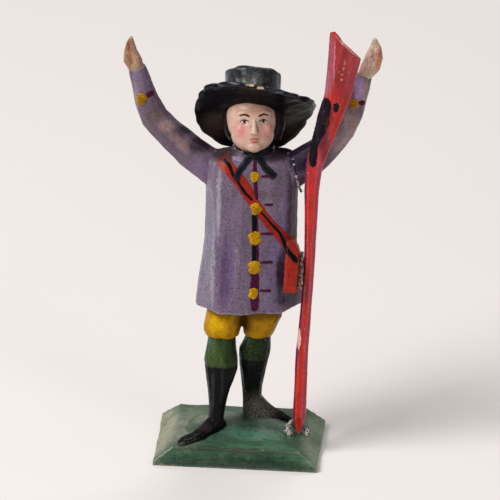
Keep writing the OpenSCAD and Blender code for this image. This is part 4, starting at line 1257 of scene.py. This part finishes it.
daub("collar_flap", coat_skin, [(-2.6, 67.4), (-0.9, 67.25), (0.6, 66.6)], [0.5, 0.8, 0.5], lilac_paint,
     "coat_purple", proud=0.06, uneven=0.25)
daub("scarf_left_tail", dress_skin, [(1.9, 67.9), (1.2, 67.6), (0.0, 66.2), (-1.15, 64.3), (-1.35, 62.7)],
     [1.0, 1.3, 1.5, 1.5, 1.5], scarf_black, "hat_black", proud=0.2, lift=0.08, blunt=0.5)
daub("scarf_right_tail", dress_skin, [(2.1, 67.9), (3.1, 67.3), (4.5, 65.65), (6.0, 64.1), (6.9, 63.4)],
     [1.0, 1.3, 1.35, 1.6, 1.3], scarf_black, "hat_black", proud=0.2, lift=0.08, blunt=0.3)
bm = bmesh.new()
lump(bm, (1.95, -3.5, 68.1), (0.95, 0.7, 0.8), Matrix.Identity(4))
bm = sand(bm, 0.14, 1)
hew(bm, 0.9, 0.1, 2.1)
piece(bm, "scarf_knot", "hat_black", scarf_black)
bm = whittle([((1.75, 0.35, 67.6), 4.0, 3.5), ((1.8, 0.3, 68.1), 4.35, 3.75), ((1.85, 0.3, 68.9), 4.2, 3.6),
              ((1.9, 0.3, 69.3), 3.7, 3.2)], 24, 0.95)
bmesh.ops.rotate(bm, cent=(1.8, 0.3, 68.4), matrix=Matrix.Rotation(math.radians(-4), 3, "Y"),
    verts=bm.verts)
bm = sand(bm, 0.18, 2)
hew(bm, 1.4, 0.12, 6.1, scallop=0.08)
piece(bm, "scarf_band", "hat_black", scarf_black)
for side, dot, bar in (
    ("right", ((-22.25, 78.9), 2.3, 2.9), [(-21.5, 79.6), (-19.7, 80.3)]),
    ("left", ((23.0, 79.9), 1.9, 2.3), [(24.0, 80.4), (25.2, 79.6)]),
):
    (x, z), wide, tall = dot
    daub(side + "_cuff_bar", sleeve_skin[side], bar, 1.2, plum_paint, "coat_purple", proud=0.08)
    daub(side + "_cuff_button", sleeve_skin[side], [(x, z - tall / 2), (x, z + tall / 2)], wide,
        button_yellow,
         "breeches_yellow", proud=0.3, lift=0.06, blunt=tall * 0.5, step=0.22)

scuff_pink = painted(
    "scuffed_end_paint", (0.42, 0.24, 0.2), bare=(0.6, 0.42, 0.33), dirt=(0.12, 0.02, 0.02),
    grain=(1.5, 1.5, 1.5), wear=0.5, grime=0.9, streak=0.4, flecks=0.0, speckle=0.35, shine=0.1,
)
# The two dull purple patches on the black are painted highlights.
lock_black = painted(
    "gun_lock_paint", (0.006, 0.003, 0.006), bare=(0.05, 0.02, 0.04), dirt=(0.003, 0.002, 0.003),
    zones=[((0.035, 0.018, 0.05), (16.6, -4.5, 79.6), (0.35, 3, 2.0), 0.8, 0.45),
           ((0.03, 0.014, 0.04), (15.4, -4.5, 75.2), (0.4, 3, 2.4), 0.8, 0.45),
           ((0.08, 0.02, 0.012), (17.6, -4.5, 76.2), (0.4, 3, 1.8), 0.7, 0.6)],
    grain=(1.5, 1.5, 0.6), wear=0.12, grime=0.3, streak=0.2, flecks=0.1, speckle=0.2, rough=0.18,
        shine=0.05, gloss=0.12,
)
daub("gun_lock_stripe", gun_skin,
     [(17.3, 82.4), (16.95, 79.1), (16.45, 76.6), (15.8, 74.6), (15.2, 73), (14.85, 70.8), (14.7, 68.3),
      (14.65, 66.4)],
     [1.9, 2.5, 2.9, 2.8, 2.1, 1.8, 1.7, 1.2], lock_black, "hat_black", proud=0.1, lift=0.02)
daub("gun_end_scuff", gun_skin, [(18.8, 96.3), (20.6, 94.9), (22.3, 93.4), (23.9, 92.0)],
    [0.2, 0.3, 0.22, 0.3],
     scuff_pink, "gun_red", proud=0.05, uneven=0.3)
daub("gun_lock_dab", gun_skin, [(19.15, 79.2), (19.6, 81.4)], 1.25, lock_black, "hat_black", proud=0.12,
    blunt=0.7, uneven=0.3)

# ---- Painted face ----
# Brows, eyes and lips are small strokes of thick paint laid on the carved
# face. The cheeks' blush is brushed into the flesh paint itself.
def on_face(name, line, widths, material, **how):
    return daub(name, face_skin, line, widths, material, "flesh", view=FACE, step=0.14, **how)


brow_paint = painted("brow_paint", (0.05, 0.025, 0.018), bare=(0.12, 0.07, 0.05), dirt=(0.02, 0.01, 0.01),
    rough=0.45, wear=0.1, flecks=0.1)
eye_white = painted("eye_white_paint", (0.62, 0.55, 0.48), bare=(0.6, 0.5, 0.4), dirt=(0.3, 0.2, 0.15),
    rough=0.35, wear=0.0, grime=0.1, flecks=0.0)
eye_dark = painted("eye_dark_paint", (0.02, 0.014, 0.012), bare=(0.05, 0.03, 0.03), dirt=(0.01, 0.01, 0.01),
    rough=0.3, wear=0.0, grime=0.1, flecks=0.0)
lip_paint = painted("lip_paint", (0.42, 0.09, 0.07), bare=(0.5, 0.2, 0.16), dirt=(0.2, 0.04, 0.03),
    rough=0.35, wear=0.1, grime=0.2, flecks=0.0)
for name, x, out in (("right", -2.0, -1), ("left", 2.0, 1)):
    on_face(name + "_brow", [(x - 1.1, 1.95 - 0.1 * out), (x, 2.3), (x + 1.1, 1.95 + 0.1 * out)],
        [0.35, 0.5, 0.35], brow_paint, proud=0.06)
    on_face(name + "_eye_white", [(x - 0.85, 0.72), (x, 0.75), (x + 0.85, 0.72)], [0.7, 0.8, 0.7],
        eye_white, proud=0.04, blunt=0.8)
    on_face(name + "_eye_dark", [(x, 0.45), (x, 1.05)], 0.62, eye_dark, proud=0.05, lift=0.04, blunt=0.3)
    on_face(name + "_eye_lid", [(x - 0.95, 0.78), (x, 1.16), (x + 0.95, 0.82)], [0.18, 0.26, 0.18],
        eye_dark, proud=0.05, lift=0.05)
on_face("upper_lip", [(-1.15, -3.0), (-0.4, -2.86), (0, -2.92), (0.4, -2.86), (1.15, -3.0)],
    [0.2, 0.42, 0.36, 0.42, 0.2], lip_paint, proud=0.06)
on_face("lower_lip", [(-0.85, -3.4), (0, -3.52), (0.85, -3.4)], [0.25, 0.5, 0.25], lip_paint, proud=0.06)

# ---- Pegs ----
# Plain whittled dowels hold the joints from inside. They keep their own
# shape and show bare wood with fine grain.
bare_wood, tree, shader, place = start_material("bare_wood_grain")
fibre = node(tree, "VectorMath", {0: place, 1: (3.0, 3.0, 0.25)}, operation="MULTIPLY").outputs[0]
grain = node(tree, "TexNoise", {"Vector": fibre, "Scale": 1.0, "Detail": 4.0}).outputs[0]
tone = blend_in(tree, grain, (0.3, 0.19, 0.1, 1), (0.5, 0.36, 0.2, 1))
tree.links.new(tone, shader.inputs["Base Color"])
tree.links.new(grade(tree, grain, 0.3, 0.7, 0.75, 0.6), shader.inputs["Roughness"])
ripple = node(tree, "Bump", {"Strength": 0.5, "Distance": 0.0001, "Height": grain})
tree.links.new(ripple.outputs[0], shader.inputs["Normal"])
for name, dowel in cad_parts.items():
    if name.endswith("_peg"):
        dowel.data.materials.clear()
        dowel.data.materials.append(bare_wood)
